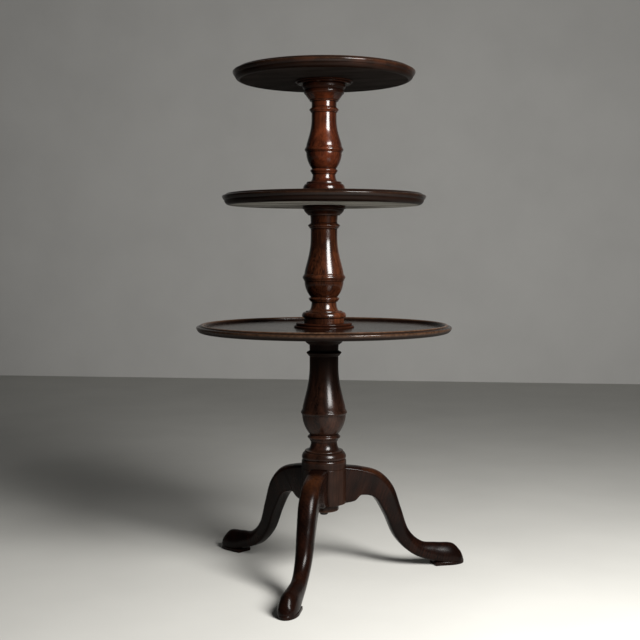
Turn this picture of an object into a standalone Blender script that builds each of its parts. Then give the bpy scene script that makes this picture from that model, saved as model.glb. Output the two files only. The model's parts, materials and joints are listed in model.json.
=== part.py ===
"""A three-tier dumbwaiter table in mahogany.

Three round dished trays turn on a pillar of three turned stems, which stands on three cabriole legs.
Lengths are in metres, +Z is up, the front leg points along -Y, and the origin is on the floor under
the middle of the whole table's outline. Values whose names end in share or shares have no unit.
"""
import math

import bmesh
import bpy
from mathutils import Matrix, Vector

# Fits
CLEARANCE = 0.0003
RUNNING_CLEARANCE = 0.0006
CUT_OVERRUN = 0.0010

# Boss, block and turned shaft of the pillar
PILLAR_LIFT = 0.156
BOSS_RADIUS = 0.0356
BOSS_HEIGHT = 0.0100
BLOCK_COVE_HEIGHT = 0.0090
BLOCK_RADIUS = 0.0539
BLOCK_HEIGHT = 0.1080
BLOCK_LINE_DROP = 0.0162
BLOCK_LINE_WIDTH = 0.0020
BLOCK_LINE_DEPTH = 0.0010
PILLAR_LENGTH = 0.3045
PILLAR_GIRDLE_RADIUS = 0.0561
PILLAR_CAP_RADIUS = 0.0560
PILLAR_SPIGOT_RADIUS = 0.0160
PILLAR_SPIGOT_GRIP = 0.0435

# Middle stem, between the bottom tray and the middle tray
MIDDLE_STEM_LENGTH = 0.2913
MIDDLE_GIRDLE_RADIUS = 0.0509
MIDDLE_FOOT_RADIUS = 0.0480
MIDDLE_FOOT_HEIGHT = 0.0250
MIDDLE_CAP_RADIUS = 0.0513
MIDDLE_SPIGOT_RADIUS = 0.0140
MIDDLE_SPIGOT_GRIP = 0.0375

# Top stem, between the middle tray and the top tray
TOP_STEM_LENGTH = 0.2660
TOP_GIRDLE_RADIUS = 0.0460
TOP_FOOT_RADIUS = 0.0440
TOP_FOOT_HEIGHT = 0.0175
TOP_CAP_RADIUS = 0.0510
TOP_SPIGOT_RADIUS = 0.0120
TOP_SPIGOT_GRIP = 0.0085

# Details that the stems share
CAP_HEIGHT = 0.0085
CAP_EDGE = 0.0020
SPIGOT_CHAMFER = 0.0015
SOCKET_SPARE = 0.0030

# Trays
BOTTOM_TRAY_RADIUS = 0.3050
MIDDLE_TRAY_RADIUS = 0.2425
TOP_TRAY_RADIUS = 0.2160
BOTTOM_TRAY_THICKNESS = 0.0195
MIDDLE_TRAY_THICKNESS = 0.0278
TOP_TRAY_THICKNESS = 0.0261
DISH_DEPTH = 0.0080
RIM_WIDTH = 0.0200
RIM_HEIGHT = 0.0155

# Collars on the trays and the bearer under the top one
MIDDLE_COLLAR_RADIUS = 0.0720
TOP_COLLAR_RADIUS = 0.0620
COLLAR_HEIGHT = 0.0122
COLLAR_RECESS = 0.0015
BEARER_RADIUS = 0.0685
BEARER_HEIGHT = 0.0080
SCREW_CIRCLE_RADIUS = 0.0580
SCREW_HEAD_RADIUS = 0.0042
SCREW_HEAD_HEIGHT = 0.0030
SCREW_SHANK_RADIUS = 0.0021
SCREW_GRIP = 0.0090
SCREW_COUNT = 4

# Iron bolt that closes the pillar's lower end
BOLT_HEAD_RADIUS = 0.0095
BOLT_HEAD_HEIGHT = 0.0105
BOLT_SHANK_RADIUS = 0.0050
BOLT_SHANK_LENGTH = 0.0600

# Legs
LEG_REACH = 0.3660
LEG_WIDTH = 0.0450
LEG_SHOULDER_DROP = 0.0190
FLAT_DEPTH = 0.0059
PAD_LENGTH = 0.0820
PAD_WIDTH = 0.0480
PAD_HEEL_WIDTH = 0.0420
PAD_THICKNESS = 0.0090
PAD_EASING = 0.0015
DOVETAIL_LENGTH = 0.0120
DOVETAIL_NECK_WIDTH = 0.0140
DOVETAIL_TAIL_WIDTH = 0.0200
DOVETAIL_STOP = 0.0140
LEG_DEGREES = {"front_leg": -90, "right_leg": 30, "left_leg": 150}

# Facets
STEM_SIDES = 20
TRAY_SIDES = 44
COLLAR_SIDES = 22
SMALL_SIDES = 8
CROWN_STEPS = 8
TOE_STEPS = 10
STATIONS_PER_ROW = 2
SHARP_DEGREES = 32

# Steps of each shape in a stem's outline
LINE_STEPS = 1
COVE_STEPS = 3
BELLY_STEPS = 4
TAPER_STEPS = 4
OVOLO_STEPS = 2
BEAD_STEPS = 4

# Members of each stem from its foot up: the shape, its height as a share of the turned length, and its
# radii at the start, at the end and at a bead's crown as shares of the girdle's radius.
PILLAR_MEMBER_SHARES = (
    ("line", 0.006, 0.910, 0.910, None),
    ("bead", 0.060, 0.905, 0.835, 0.961),
    ("line", 0.014, 0.800, 0.790, None),
    ("cove", 0.072, 0.690, 0.573, None),
    ("bead", 0.055, 0.600, 0.615, 0.708),
    ("belly", 0.151, 0.610, 0.955, None),
    ("bead", 0.041, 0.955, 0.950, 1.000),
    ("taper", 0.417, 0.945, 0.620, None),
    ("bead", 0.060, 0.625, 0.620, 0.741),
    ("line", 0.036, 0.620, 0.625, None),
    ("line", 0.007, 0.690, 0.690, None),
    ("ovolo", 0.046, 0.735, 0.925, None),
)
MIDDLE_MEMBER_SHARES = (
    ("bead", 0.051, 0.975, 0.915, 1.035),
    ("line", 0.014, 0.884, 0.870, None),
    ("cove", 0.081, 0.750, 0.617, None),
    ("bead", 0.050, 0.640, 0.640, 0.739),
    ("belly", 0.139, 0.650, 0.925, None),
    ("bead", 0.050, 0.925, 0.930, 1.000),
    ("taper", 0.396, 0.930, 0.627, None),
    ("bead", 0.052, 0.632, 0.628, 0.739),
    ("line", 0.061, 0.624, 0.635, None),
    ("line", 0.009, 0.745, 0.760, None),
    ("ovolo", 0.040, 0.775, 0.935, None),
)
TOP_MEMBER_SHARES = (
    ("bead", 0.062, 1.000, 0.960, 1.078),
    ("line", 0.028, 0.915, 0.905, None),
    ("cove", 0.072, 0.715, 0.593, None),
    ("bead", 0.064, 0.600, 0.610, 0.693),
    ("belly", 0.156, 0.635, 0.920, None),
    ("bead", 0.055, 0.920, 0.925, 1.000),
    ("taper", 0.332, 0.920, 0.641, None),
    ("bead", 0.064, 0.645, 0.637, 0.741),
    ("cove", 0.058, 0.637, 0.640, None),
    ("bead", 0.024, 0.740, 0.745, 0.790),
    ("ovolo", 0.052, 0.790, 0.960, None),
    ("bead", 0.033, 0.980, 0.980, 1.040),
)

# How the points of each shape crowd towards its start
CROWDING_SHARES = {"line": 1, "cove": 2, "belly": 1.6, "taper": 1, "ovolo": 1}
BELLY_SHARE = 0.60
TAPER_REACH_SHARE = 0.72

# A tray's rim from the foot of its fascia to the dish: inset as a share of the rim's width, and drop below
# the lip as a share of the rim's height
FASCIA_SHARES = ((0.25, 1.00), (0.07, 0.75))
BEAD_AND_LIP_SHARES = ((0.00, 0.48), (0.09, 0.32), (0.38, 0.21), (0.50, 0.04), (0.70, 0.00), (0.88, 0.12))
UNDERSIDE_INSET_SHARE = 0.95
DISH_INSET_SHARE = 1.02

# The two lips of a collar or the bearer from its wide face: radius as a share of the piece's radius, and
# height as a share of its height
LIP_SHARES = ((0.975, 0.00), (1.00, 0.20), (0.975, 0.44), (0.915, 0.50), (0.930, 0.66), (0.925, 0.88),
              (0.900, 1.00))

# Leg, from the block to the pad's heel: reach of the upper and the lower outline as shares of the way from
# the block's flat to the heel, their heights as shares of the leg's top over the pad's middle, the width as
# a share of the leg's width, and the crown's depth as a share of the section's depth
LEG_ROW_SHARES = (
    (0.000, 1.000, 0.000, 0.649, 1.000, 0.11),
    (0.194, 0.977, 0.109, 0.665, 1.000, 0.14),
    (0.393, 0.919, 0.185, 0.715, 1.000, 0.22),
    (0.542, 0.776, 0.334, 0.676, 0.978, 0.32),
    (0.631, 0.561, 0.457, 0.499, 0.933, 0.44),
    (0.720, 0.345, 0.567, 0.283, 0.856, 0.55),
    (0.864, 0.224, 0.733, 0.125, 0.778, 0.65),
    (1.034, 0.198, 0.932, 0.044, 0.867, 0.75),
)
# Foot, over the pad: the same, but the reach as shares of the pad's length and the width of the pad's width
FOOT_ROW_SHARES = (
    (0.610, 0.179, 0.378, 0.002, 0.917, 0.85),
    (0.854, 0.106, 0.756, 0.002, 0.688, 0.90),
    (0.945, 0.048, 0.902, 0.002, 0.292, 0.90),
)
UNDERSIDE_WIDTH_SHARE = 0.88
PAD_TOE_SHARE = 0.50

# Places up the pillar that follow from the sizes
BLOCK_BOTTOM = PILLAR_LIFT + BOSS_HEIGHT + BLOCK_COVE_HEIGHT
BLOCK_TOP = BLOCK_BOTTOM + BLOCK_HEIGHT
LEG_TOP = BLOCK_TOP - LEG_SHOULDER_DROP
FLAT_REACH = BLOCK_RADIUS - FLAT_DEPTH
PILLAR_TOP = BLOCK_TOP + PILLAR_LENGTH
BOTTOM_TRAY_BASE = PILLAR_TOP + CLEARANCE
BOTTOM_TRAY_FLOOR = BOTTOM_TRAY_BASE + BOTTOM_TRAY_THICKNESS - DISH_DEPTH
MIDDLE_STEM_BASE = BOTTOM_TRAY_FLOOR - COLLAR_RECESS + RUNNING_CLEARANCE
MIDDLE_STEM_TOP = MIDDLE_STEM_BASE + MIDDLE_STEM_LENGTH
MIDDLE_TRAY_BASE = MIDDLE_STEM_TOP + CLEARANCE
MIDDLE_TRAY_FLOOR = MIDDLE_TRAY_BASE + MIDDLE_TRAY_THICKNESS - DISH_DEPTH
TOP_STEM_BASE = MIDDLE_TRAY_FLOOR - COLLAR_RECESS + RUNNING_CLEARANCE
TOP_STEM_TOP = TOP_STEM_BASE + TOP_STEM_LENGTH
BEARER_BASE = TOP_STEM_TOP + CLEARANCE
TOP_TRAY_BASE = BEARER_BASE + BEARER_HEIGHT + CLEARANCE
TOP_TRAY_FLOOR = TOP_TRAY_BASE + TOP_TRAY_THICKNESS - DISH_DEPTH
AXIS_SHIFT = (LEG_REACH - BOTTOM_TRAY_RADIUS) / 2

# Colour, roughness and metallic value of each finish
UPPER_WOOD_SHARES = ((0.110, 0.032, 0.014), 0.22, 0)
TRAY_WOOD_SHARES = ((0.070, 0.022, 0.011), 0.25, 0)
LEG_WOOD_SHARES = ((0.042, 0.016, 0.012), 0.27, 0)
DARK_IRON_SHARES = ((0.020, 0.018, 0.017), 0.55, 0.9)
STEEL_SHARES = ((0.180, 0.165, 0.150), 0.45, 1)


def clear_scene():
    """Remove whatever the scene holds."""
    for obj in list(bpy.data.objects):
        bpy.data.objects.remove(obj, do_unlink=True)


def finish_material(name, finish):
    """Make the named piece's own material from its colour, roughness and metallic value."""
    colour, roughness, metallic = finish
    material = bpy.data.materials.new(name + "_finish")
    material.use_nodes = True
    shader = material.node_tree.nodes["Principled BSDF"]
    shader.inputs["Base Color"].default_value = (*colour, 1.0)
    shader.inputs["Roughness"].default_value = roughness
    shader.inputs["Metallic"].default_value = metallic
    return material


def add_object(name, mesh, parent, finish=None):
    """Link a mesh as an object under the pillar's axis, with its finish if it has one."""
    obj = bpy.data.objects.new(name, mesh)
    bpy.context.scene.collection.objects.link(obj)
    obj.parent = parent
    if finish:
        mesh.materials.clear()
        mesh.materials.append(finish_material(name, finish))
    return obj


def mesh_of(name, bm):
    """Turn a closed bmesh into a smooth-shaded mesh whose faces point out."""
    bmesh.ops.recalc_face_normals(bm, faces=bm.faces)
    mesh = bpy.data.meshes.new(name)
    bm.to_mesh(mesh)
    bm.free()
    mesh.shade_smooth()
    mesh.set_sharp_from_angle(angle=math.radians(SHARP_DEGREES))
    return mesh


def as_helper(obj):
    """Keep a cutter or a shape to be joined out of the model itself."""
    obj.hide_render = True
    obj.display_type = "WIRE"
    return obj


def combine(obj, other, operation):
    """Cut a helper from an object, or join it on."""
    modifier = obj.modifiers.new(operation.lower() + "_" + other.name, "BOOLEAN")
    modifier.operation = operation
    modifier.solver = "EXACT"
    modifier.object = as_helper(other)


def mix(start, end, share):
    """The value at a share of the way from start to end."""
    return start + (end - start) * share


def turned_mesh(name, outline, sides, closed=False):
    """Spin an outline of (radius, height) points about the vertical axis."""
    bm = bmesh.new()
    verts = [bm.verts.new((radius, 0, height)) for radius, height in outline]
    edges = [bm.edges.new(pair) for pair in zip(verts, verts[1:])]
    if closed:
        edges.append(bm.edges.new((verts[-1], verts[0])))
    bmesh.ops.spin(bm, geom=verts + edges, cent=(0, 0, 0), axis=(0, 0, 1), angle=2 * math.pi, steps=sides,
                   use_merge=True)
    bmesh.ops.remove_doubles(bm, verts=bm.verts, dist=CLEARANCE / sides)
    return mesh_of(name, bm)


def shape_steps(shape):
    """How many steps a member of this shape is drawn in."""
    steps = {"line": LINE_STEPS, "cove": COVE_STEPS, "belly": BELLY_STEPS, "taper": TAPER_STEPS,
             "ovolo": OVOLO_STEPS, "bead": BEAD_STEPS}
    return steps[shape]


def shape_share(shape, share):
    """How far a member has come from its start radius to its end radius at a share of its height."""
    if shape == "cove":
        return math.sqrt(1 - (1 - share) ** 2)
    if shape == "belly":
        return math.sin(math.pi / 2 * share) ** BELLY_SHARE
    if shape == "taper":
        return (1 - math.cos(math.pi * min(1, share / TAPER_REACH_SHARE))) / 2
    if shape == "ovolo":
        return math.sin(math.pi / 2 * share)
    return share


def member_outline(member, base, length, girdle):
    """Points of one member of a stem, from its start radius at the height given as base."""
    shape, rise_share, start_share, end_share, crown_share = member
    rise, start, end = rise_share * length, start_share * girdle, end_share * girdle
    steps = shape_steps(shape)
    points = []
    for step in range(steps + 1):
        if shape == "bead":
            turn = math.pi * step / steps
            share = (1 - math.cos(turn)) / 2
            bulge = (crown_share * girdle - (start + end) / 2) * math.sin(turn)
            points.append((mix(start, end, share) + bulge, base + rise * share))
        else:
            share = (step / steps) ** CROWDING_SHARES[shape]
            points.append((mix(start, end, shape_share(shape, share)), base + rise * share))
    return points


def stem_outline(members, base, top, girdle, cap_radius):
    """Outline of a turned stem from its first member up to the edge of its cap."""
    turned = top - base - CAP_HEIGHT
    total = sum(member[1] for member in members)
    points, height = [], base
    for member in members:
        points += member_outline(member, height, turned / total, girdle)
        height += member[1] * turned / total
    points += [
        (cap_radius - CAP_EDGE, top - CAP_HEIGHT),
        (cap_radius, top - CAP_HEIGHT + CAP_EDGE),
        (cap_radius, top - CAP_EDGE),
        (cap_radius - CAP_EDGE, top),
    ]
    return points


def spigot_outline(radius, base, tip):
    """Outline of a plain spigot with its eased end, up to the axis."""
    return [(radius, base), (radius, tip - SPIGOT_CHAMFER), (radius - SPIGOT_CHAMFER, tip), (0, tip)]


def socket_outline(radius, base, depth):
    """Outline of a socket bored up from the foot, from the axis at its blind end."""
    return [(0, base + depth), (radius, base + depth), (radius, base)]


def foot_outline(radius, base, height):
    """Outline of a plain drum foot with a groove over it."""
    return [(radius, base), (radius, base + height)]


def make_pillar(axis):
    """Boss, block and lowest stem, with the bolt's bore, the legs' flats and their dovetail slots."""
    bore = BOLT_SHANK_RADIUS + CLEARANCE
    bore_depth = BOLT_SHANK_LENGTH + SOCKET_SPARE
    line = BLOCK_TOP - BLOCK_LINE_DROP
    cove_radius = BLOCK_RADIUS - BOSS_RADIUS
    outline = socket_outline(bore, PILLAR_LIFT, bore_depth)
    outline += [(BOSS_RADIUS - CAP_EDGE, PILLAR_LIFT), (BOSS_RADIUS, PILLAR_LIFT + CAP_EDGE)]
    for step in range(COVE_STEPS + 1):
        turn = math.pi / 2 * step / COVE_STEPS
        radius = BLOCK_RADIUS - cove_radius * math.cos(turn)
        outline.append((radius, PILLAR_LIFT + BOSS_HEIGHT + BLOCK_COVE_HEIGHT * math.sin(turn)))
    outline += [
        (BLOCK_RADIUS, line - BLOCK_LINE_WIDTH / 2),
        (BLOCK_RADIUS - BLOCK_LINE_DEPTH, line),
        (BLOCK_RADIUS, line + BLOCK_LINE_WIDTH / 2),
        (BLOCK_RADIUS, BLOCK_TOP - BLOCK_LINE_DEPTH),
        (BLOCK_RADIUS - BLOCK_LINE_DEPTH, BLOCK_TOP),
    ]
    outline += stem_outline(PILLAR_MEMBER_SHARES, BLOCK_TOP, PILLAR_TOP, PILLAR_GIRDLE_RADIUS,
                            PILLAR_CAP_RADIUS)
    outline += spigot_outline(PILLAR_SPIGOT_RADIUS, PILLAR_TOP, MIDDLE_STEM_BASE + PILLAR_SPIGOT_GRIP)
    pillar = add_object("pillar", turned_mesh("pillar", outline, STEM_SIDES), axis, UPPER_WOOD_SHARES)
    for leg, degrees in LEG_DEGREES.items():
        turn = Matrix.Rotation(math.radians(degrees), 4, "Z")
        combine(pillar, block_flat_cutter(leg, turn, axis), "DIFFERENCE")
        combine(pillar, dovetail(leg + "_slot", turn, axis, CLEARANCE), "DIFFERENCE")
    return pillar


def block_flat_cutter(leg, turn, axis):
    """A box that planes the flat which a leg butts against, from below the block up to the leg's shoulder."""
    low = (FLAT_REACH, -BLOCK_RADIUS, BLOCK_BOTTOM - BLOCK_COVE_HEIGHT)
    high = (BLOCK_RADIUS + LEG_WIDTH, BLOCK_RADIUS, LEG_TOP + CLEARANCE)
    bm = bmesh.new()
    centre = [(one + two) / 2 for one, two in zip(low, high)]
    size = [two - one for one, two in zip(low, high)]
    bmesh.ops.create_cube(bm, size=1, matrix=turn @ Matrix.Translation(centre) @ Matrix.Diagonal((*size, 1)))
    return add_object(leg + "_flat", mesh_of(leg + "_flat", bm), axis)


def dovetail(name, turn, axis, clearance):
    """The sliding dovetail of a leg, or with a clearance the slot that takes it, open at the block's foot."""
    tail = FLAT_REACH - DOVETAIL_LENGTH + CLEARANCE - clearance
    mouth = FLAT_REACH + (LEG_WIDTH if clearance else DOVETAIL_LENGTH) / 2
    flare = (DOVETAIL_TAIL_WIDTH - DOVETAIL_NECK_WIDTH) / DOVETAIL_LENGTH
    tail_half = DOVETAIL_TAIL_WIDTH / 2 + clearance
    mouth_half = tail_half - flare / 2 * (FLAT_REACH - tail)
    bottom = BLOCK_BOTTOM - BLOCK_COVE_HEIGHT - CUT_OVERRUN if clearance else BLOCK_BOTTOM + CUT_OVERRUN
    top = LEG_TOP - DOVETAIL_STOP + clearance
    plan = [(tail, tail_half), (tail, -tail_half), (FLAT_REACH, -mouth_half), (mouth, -mouth_half),
            (mouth, mouth_half), (FLAT_REACH, mouth_half)]
    bm = bmesh.new()
    face = bm.faces.new([bm.verts.new((x, y, bottom)) for x, y in plan])
    risen = bmesh.ops.extrude_face_region(bm, geom=[face])["geom"]
    risen_verts = [element for element in risen if isinstance(element, bmesh.types.BMVert)]
    bmesh.ops.translate(bm, verts=risen_verts, vec=(0, 0, top - bottom))
    bmesh.ops.transform(bm, matrix=turn, verts=bm.verts)
    return add_object(name, mesh_of(name, bm), axis)


def make_middle_stem(axis):
    """Stem between the bottom and the middle tray, bored at its foot for the pillar's spigot."""
    grip = PILLAR_SPIGOT_GRIP + SOCKET_SPARE
    first = MIDDLE_STEM_BASE + MIDDLE_FOOT_HEIGHT
    outline = socket_outline(PILLAR_SPIGOT_RADIUS + CLEARANCE, MIDDLE_STEM_BASE, grip)
    outline += foot_outline(MIDDLE_FOOT_RADIUS, MIDDLE_STEM_BASE, MIDDLE_FOOT_HEIGHT)
    outline += stem_outline(MIDDLE_MEMBER_SHARES, first, MIDDLE_STEM_TOP, MIDDLE_GIRDLE_RADIUS,
                            MIDDLE_CAP_RADIUS)
    outline += spigot_outline(MIDDLE_SPIGOT_RADIUS, MIDDLE_STEM_TOP, TOP_STEM_BASE + MIDDLE_SPIGOT_GRIP)
    return add_object("middle_stem", turned_mesh("middle_stem", outline, STEM_SIDES), axis, UPPER_WOOD_SHARES)


def make_top_stem(axis):
    """Stem between the middle and the top tray, whose spigot carries the bearer and the top tray."""
    grip = MIDDLE_SPIGOT_GRIP + SOCKET_SPARE
    first = TOP_STEM_BASE + TOP_FOOT_HEIGHT
    outline = socket_outline(MIDDLE_SPIGOT_RADIUS + CLEARANCE, TOP_STEM_BASE, grip)
    outline += foot_outline(TOP_FOOT_RADIUS, TOP_STEM_BASE, TOP_FOOT_HEIGHT)
    outline += stem_outline(TOP_MEMBER_SHARES, first, TOP_STEM_TOP, TOP_GIRDLE_RADIUS, TOP_CAP_RADIUS)
    outline += spigot_outline(TOP_SPIGOT_RADIUS, TOP_STEM_TOP, TOP_TRAY_BASE + TOP_SPIGOT_GRIP)
    return add_object("top_stem", turned_mesh("top_stem", outline, STEM_SIDES), axis, UPPER_WOOD_SHARES)


def rim_outline(radius, base, thickness):
    """Outline of a tray from the edge of its flat underside, over the moulded rim, to the dish's floor."""
    top = base + thickness
    underside = radius - UNDERSIDE_INSET_SHARE * RIM_WIDTH
    fascia_inset, fascia_drop = FASCIA_SHARES[0]
    fascia_foot = (radius - fascia_inset * RIM_WIDTH, top - fascia_drop * RIM_HEIGHT)
    points = []
    for step in range(OVOLO_STEPS):
        turn = math.pi / 2 * step / OVOLO_STEPS
        points.append((mix(underside, fascia_foot[0], math.sin(turn)),
                       mix(fascia_foot[1], base, math.cos(turn))))
    for inset, drop in FASCIA_SHARES + BEAD_AND_LIP_SHARES:
        points.append((radius - inset * RIM_WIDTH, top - drop * RIM_HEIGHT))
    points.append((radius - DISH_INSET_SHARE * RIM_WIDTH, top - DISH_DEPTH))
    return points


def make_tray(name, radius, base, thickness, spigot_radius, collar_radius, axis):
    """A dished tray with a recess for its collar, and a hole through it for the spigot that it turns on."""
    hole = spigot_radius + RUNNING_CLEARANCE
    recess = collar_radius + CLEARANCE
    floor = base + thickness - DISH_DEPTH
    outline = [(hole, base), *rim_outline(radius, base, thickness)]
    outline += [(recess, floor), (recess, floor - COLLAR_RECESS), (hole, floor - COLLAR_RECESS)]
    return add_object(name, turned_mesh(name, outline, TRAY_SIDES, closed=True), axis, TRAY_WOOD_SHARES)


def make_top_tray(axis):
    """The top tray, whose dish is whole: its spigot turns in a blind socket, and screws hold its bearer."""
    socket_depth = TOP_SPIGOT_GRIP + CUT_OVERRUN
    outline = socket_outline(TOP_SPIGOT_RADIUS + RUNNING_CLEARANCE, TOP_TRAY_BASE, socket_depth)
    outline += rim_outline(TOP_TRAY_RADIUS, TOP_TRAY_BASE, TOP_TRAY_THICKNESS)
    outline.append((0, TOP_TRAY_FLOOR))
    tray = add_object("top_tray", turned_mesh("top_tray", outline, TRAY_SIDES), axis, TRAY_WOOD_SHARES)
    cut_screw_holes(tray, axis)
    return tray


def lip_outline(radius, wide_face, narrow_face):
    """Outline of the two lips of a collar or of the bearer, from its wide face to its narrow one."""
    return [(radius * out, mix(wide_face, narrow_face, up)) for out, up in LIP_SHARES]


def make_collar(name, radius, foot_radius, floor, axis):
    """The two-lipped ring that is glued into a tray's floor and turns with it round a stem's foot."""
    base = floor - COLLAR_RECESS + CLEARANCE
    hole = foot_radius + RUNNING_CLEARANCE
    outline = [(hole, base), *lip_outline(radius, base, base + COLLAR_HEIGHT), (hole, base + COLLAR_HEIGHT)]
    return add_object(name, turned_mesh(name, outline, COLLAR_SIDES, closed=True), axis, UPPER_WOOD_SHARES)


def make_bearer(axis):
    """The two-lipped disc that is screwed under the top tray and runs on the top stem's cap."""
    hole = TOP_SPIGOT_RADIUS + RUNNING_CLEARANCE
    top = BEARER_BASE + BEARER_HEIGHT
    outline = [(hole, top), (hole, BEARER_BASE), *reversed(lip_outline(BEARER_RADIUS, top, BEARER_BASE))]
    mesh = turned_mesh("top_bearer", outline, COLLAR_SIDES, closed=True)
    bearer = add_object("top_bearer", mesh, axis, UPPER_WOOD_SHARES)
    cut_screw_holes(bearer, axis)
    return bearer


def screw_mesh(name, clearance):
    """One countersunk wood screw, or with a clearance the hole that it is driven into."""
    base = BEARER_BASE - clearance if clearance else BEARER_BASE + CLEARANCE
    head_top = BEARER_BASE + CLEARANCE + SCREW_HEAD_HEIGHT
    tip = TOP_TRAY_BASE + SCREW_GRIP + clearance
    head, shank = SCREW_HEAD_RADIUS + clearance, SCREW_SHANK_RADIUS + clearance
    outline = [(0, base), (head, base), (head, BEARER_BASE + 2 * CLEARANCE), (shank, head_top),
               (shank, tip - SCREW_SHANK_RADIUS), (0, tip)]
    return turned_mesh(name, outline, SMALL_SIDES)


def screw_places():
    """Where the bearer's screws stand round the axis."""
    for number in range(SCREW_COUNT):
        turn = 2 * math.pi * number / SCREW_COUNT
        yield Vector((SCREW_CIRCLE_RADIUS * math.cos(turn), SCREW_CIRCLE_RADIUS * math.sin(turn), 0))


def make_screws(axis):
    """The wood screws that hold the bearer under the top tray."""
    for number, place in enumerate(screw_places(), start=1):
        name = f"bearer_screw_{number}"
        add_object(name, screw_mesh(name, 0), axis, STEEL_SHARES).location = place


def cut_screw_holes(obj, axis):
    """Bore the screws' countersunk holes in the bearer or the tray."""
    for number, place in enumerate(screw_places(), start=1):
        name = f"{obj.name}_screw_hole_{number}"
        hole = add_object(name, screw_mesh(name, CLEARANCE), axis)
        hole.location = place
        combine(obj, hole, "DIFFERENCE")


def make_end_bolt(axis):
    """Iron bolt up the pillar's lower end, with its round eased head under the boss."""
    seat = PILLAR_LIFT - CLEARANCE
    foot = seat - BOLT_HEAD_HEIGHT
    easing = BOLT_HEAD_HEIGHT / 4
    outline = [
        (0, foot),
        (BOLT_HEAD_RADIUS - easing, foot),
        (BOLT_HEAD_RADIUS, foot + easing),
        (BOLT_HEAD_RADIUS, seat),
        (BOLT_SHANK_RADIUS, seat),
        (BOLT_SHANK_RADIUS, PILLAR_LIFT + BOLT_SHANK_LENGTH - BOLT_SHANK_RADIUS),
        (0, PILLAR_LIFT + BOLT_SHANK_LENGTH),
    ]
    return add_object("end_bolt", turned_mesh("end_bolt", outline, 2 * SMALL_SIDES), axis, DARK_IRON_SHARES)


def smooth_between(before, start, end, after, share):
    """A value on the smooth curve through four rows, between the middle two."""
    slope_in, slope_out = (end - before) / 2, (after - start) / 2
    square, cube = share ** 2, share ** 3
    rising = 3 * square - 2 * cube
    return (start * (1 - rising) + end * rising + slope_in * (cube - 2 * square + share)
            + slope_out * (cube - square))


def leg_rows():
    """Rows of (upper reach, upper height, lower reach, lower height, width, crown share) along the leg."""
    heel = LEG_REACH - PAD_LENGTH
    seat = PAD_THICKNESS / 2
    root = FLAT_REACH + CLEARANCE
    rows = []
    for upper, upper_up, lower, lower_up, width, crown in LEG_ROW_SHARES:
        rows.append((mix(root, heel, upper), mix(seat, LEG_TOP, upper_up), mix(root, heel, lower),
                     mix(seat, LEG_TOP, lower_up), width * LEG_WIDTH, crown))
    for upper, upper_up, lower, lower_up, width, crown in FOOT_ROW_SHARES:
        rows.append((mix(heel, LEG_REACH, upper), mix(seat, LEG_TOP, upper_up), mix(heel, LEG_REACH, lower),
                     mix(seat, LEG_TOP, lower_up), width * PAD_WIDTH, crown))
    return rows


def leg_stations():
    """The rows with smooth ones between them."""
    rows = leg_rows()
    padded = [rows[0], *rows, rows[-1]]
    stations = []
    for first in range(len(rows) - 1):
        four = padded[first:first + 4]
        for step in range(STATIONS_PER_ROW):
            share = step / STATIONS_PER_ROW
            stations.append([smooth_between(*values, share) for values in zip(*four)])
    return stations + [list(rows[-1])]


def leg_section(station):
    """Points round one section: the flat underside's arrises, the sides and the crowned upper face."""
    upper, upper_up, lower, lower_up, width, crown_share = station
    upper_point, lower_point = Vector((upper, 0, upper_up)), Vector((lower, 0, lower_up))
    depth = (upper_point - lower_point).length
    outward = (upper_point - lower_point).normalized()
    across = Vector((0, 1, 0))
    crown = crown_share * depth
    under = UNDERSIDE_WIDTH_SHARE * width / 2
    points = [lower_point - across * under, lower_point + across * under]
    for step in range(CROWN_STEPS + 1):
        turn = math.pi * step / CROWN_STEPS
        rise = depth - crown + crown * math.sin(turn)
        points.append(lower_point + across * (width / 2 * math.cos(turn)) + outward * rise)
    return points


def loft(name, sections):
    """Skin closed sections in order, with a face over each end."""
    bm = bmesh.new()
    rings = [[bm.verts.new(point) for point in section] for section in sections]
    for ring, following in zip(rings, rings[1:]):
        for first in range(len(ring)):
            second = (first + 1) % len(ring)
            bm.faces.new((ring[first], ring[second], following[second], following[first]))
    bm.faces.new(list(reversed(rings[0])))
    bm.faces.new(rings[-1])
    return mesh_of(name, bm)


def pad_plan(inset):
    """Outline of the pad seen from above: a square-cut heel, straight sides and an elliptical toe."""
    heel = LEG_REACH - PAD_LENGTH + inset
    toe_length = PAD_TOE_SHARE * PAD_LENGTH
    toe_start = LEG_REACH - toe_length
    points = [(heel, PAD_HEEL_WIDTH / 2 - inset)]
    for step in range(TOE_STEPS + 1):
        turn = math.pi * step / TOE_STEPS
        reach = toe_start + (toe_length - inset) * math.sin(turn)
        points.append((reach, (PAD_WIDTH / 2 - inset) * math.cos(turn)))
    points.append((heel, -PAD_HEEL_WIDTH / 2 + inset))
    return points


def make_pad(axis):
    """The thin pad carved under a foot, with eased edges."""
    levels = ((0, PAD_EASING), (PAD_EASING, 0), (PAD_THICKNESS - PAD_EASING, 0), (PAD_THICKNESS, PAD_EASING))
    sections = [[Vector((x, y, height)) for x, y in pad_plan(inset)] for height, inset in levels]
    return add_object("leg_pad", loft("leg_pad", sections), axis)


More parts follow.
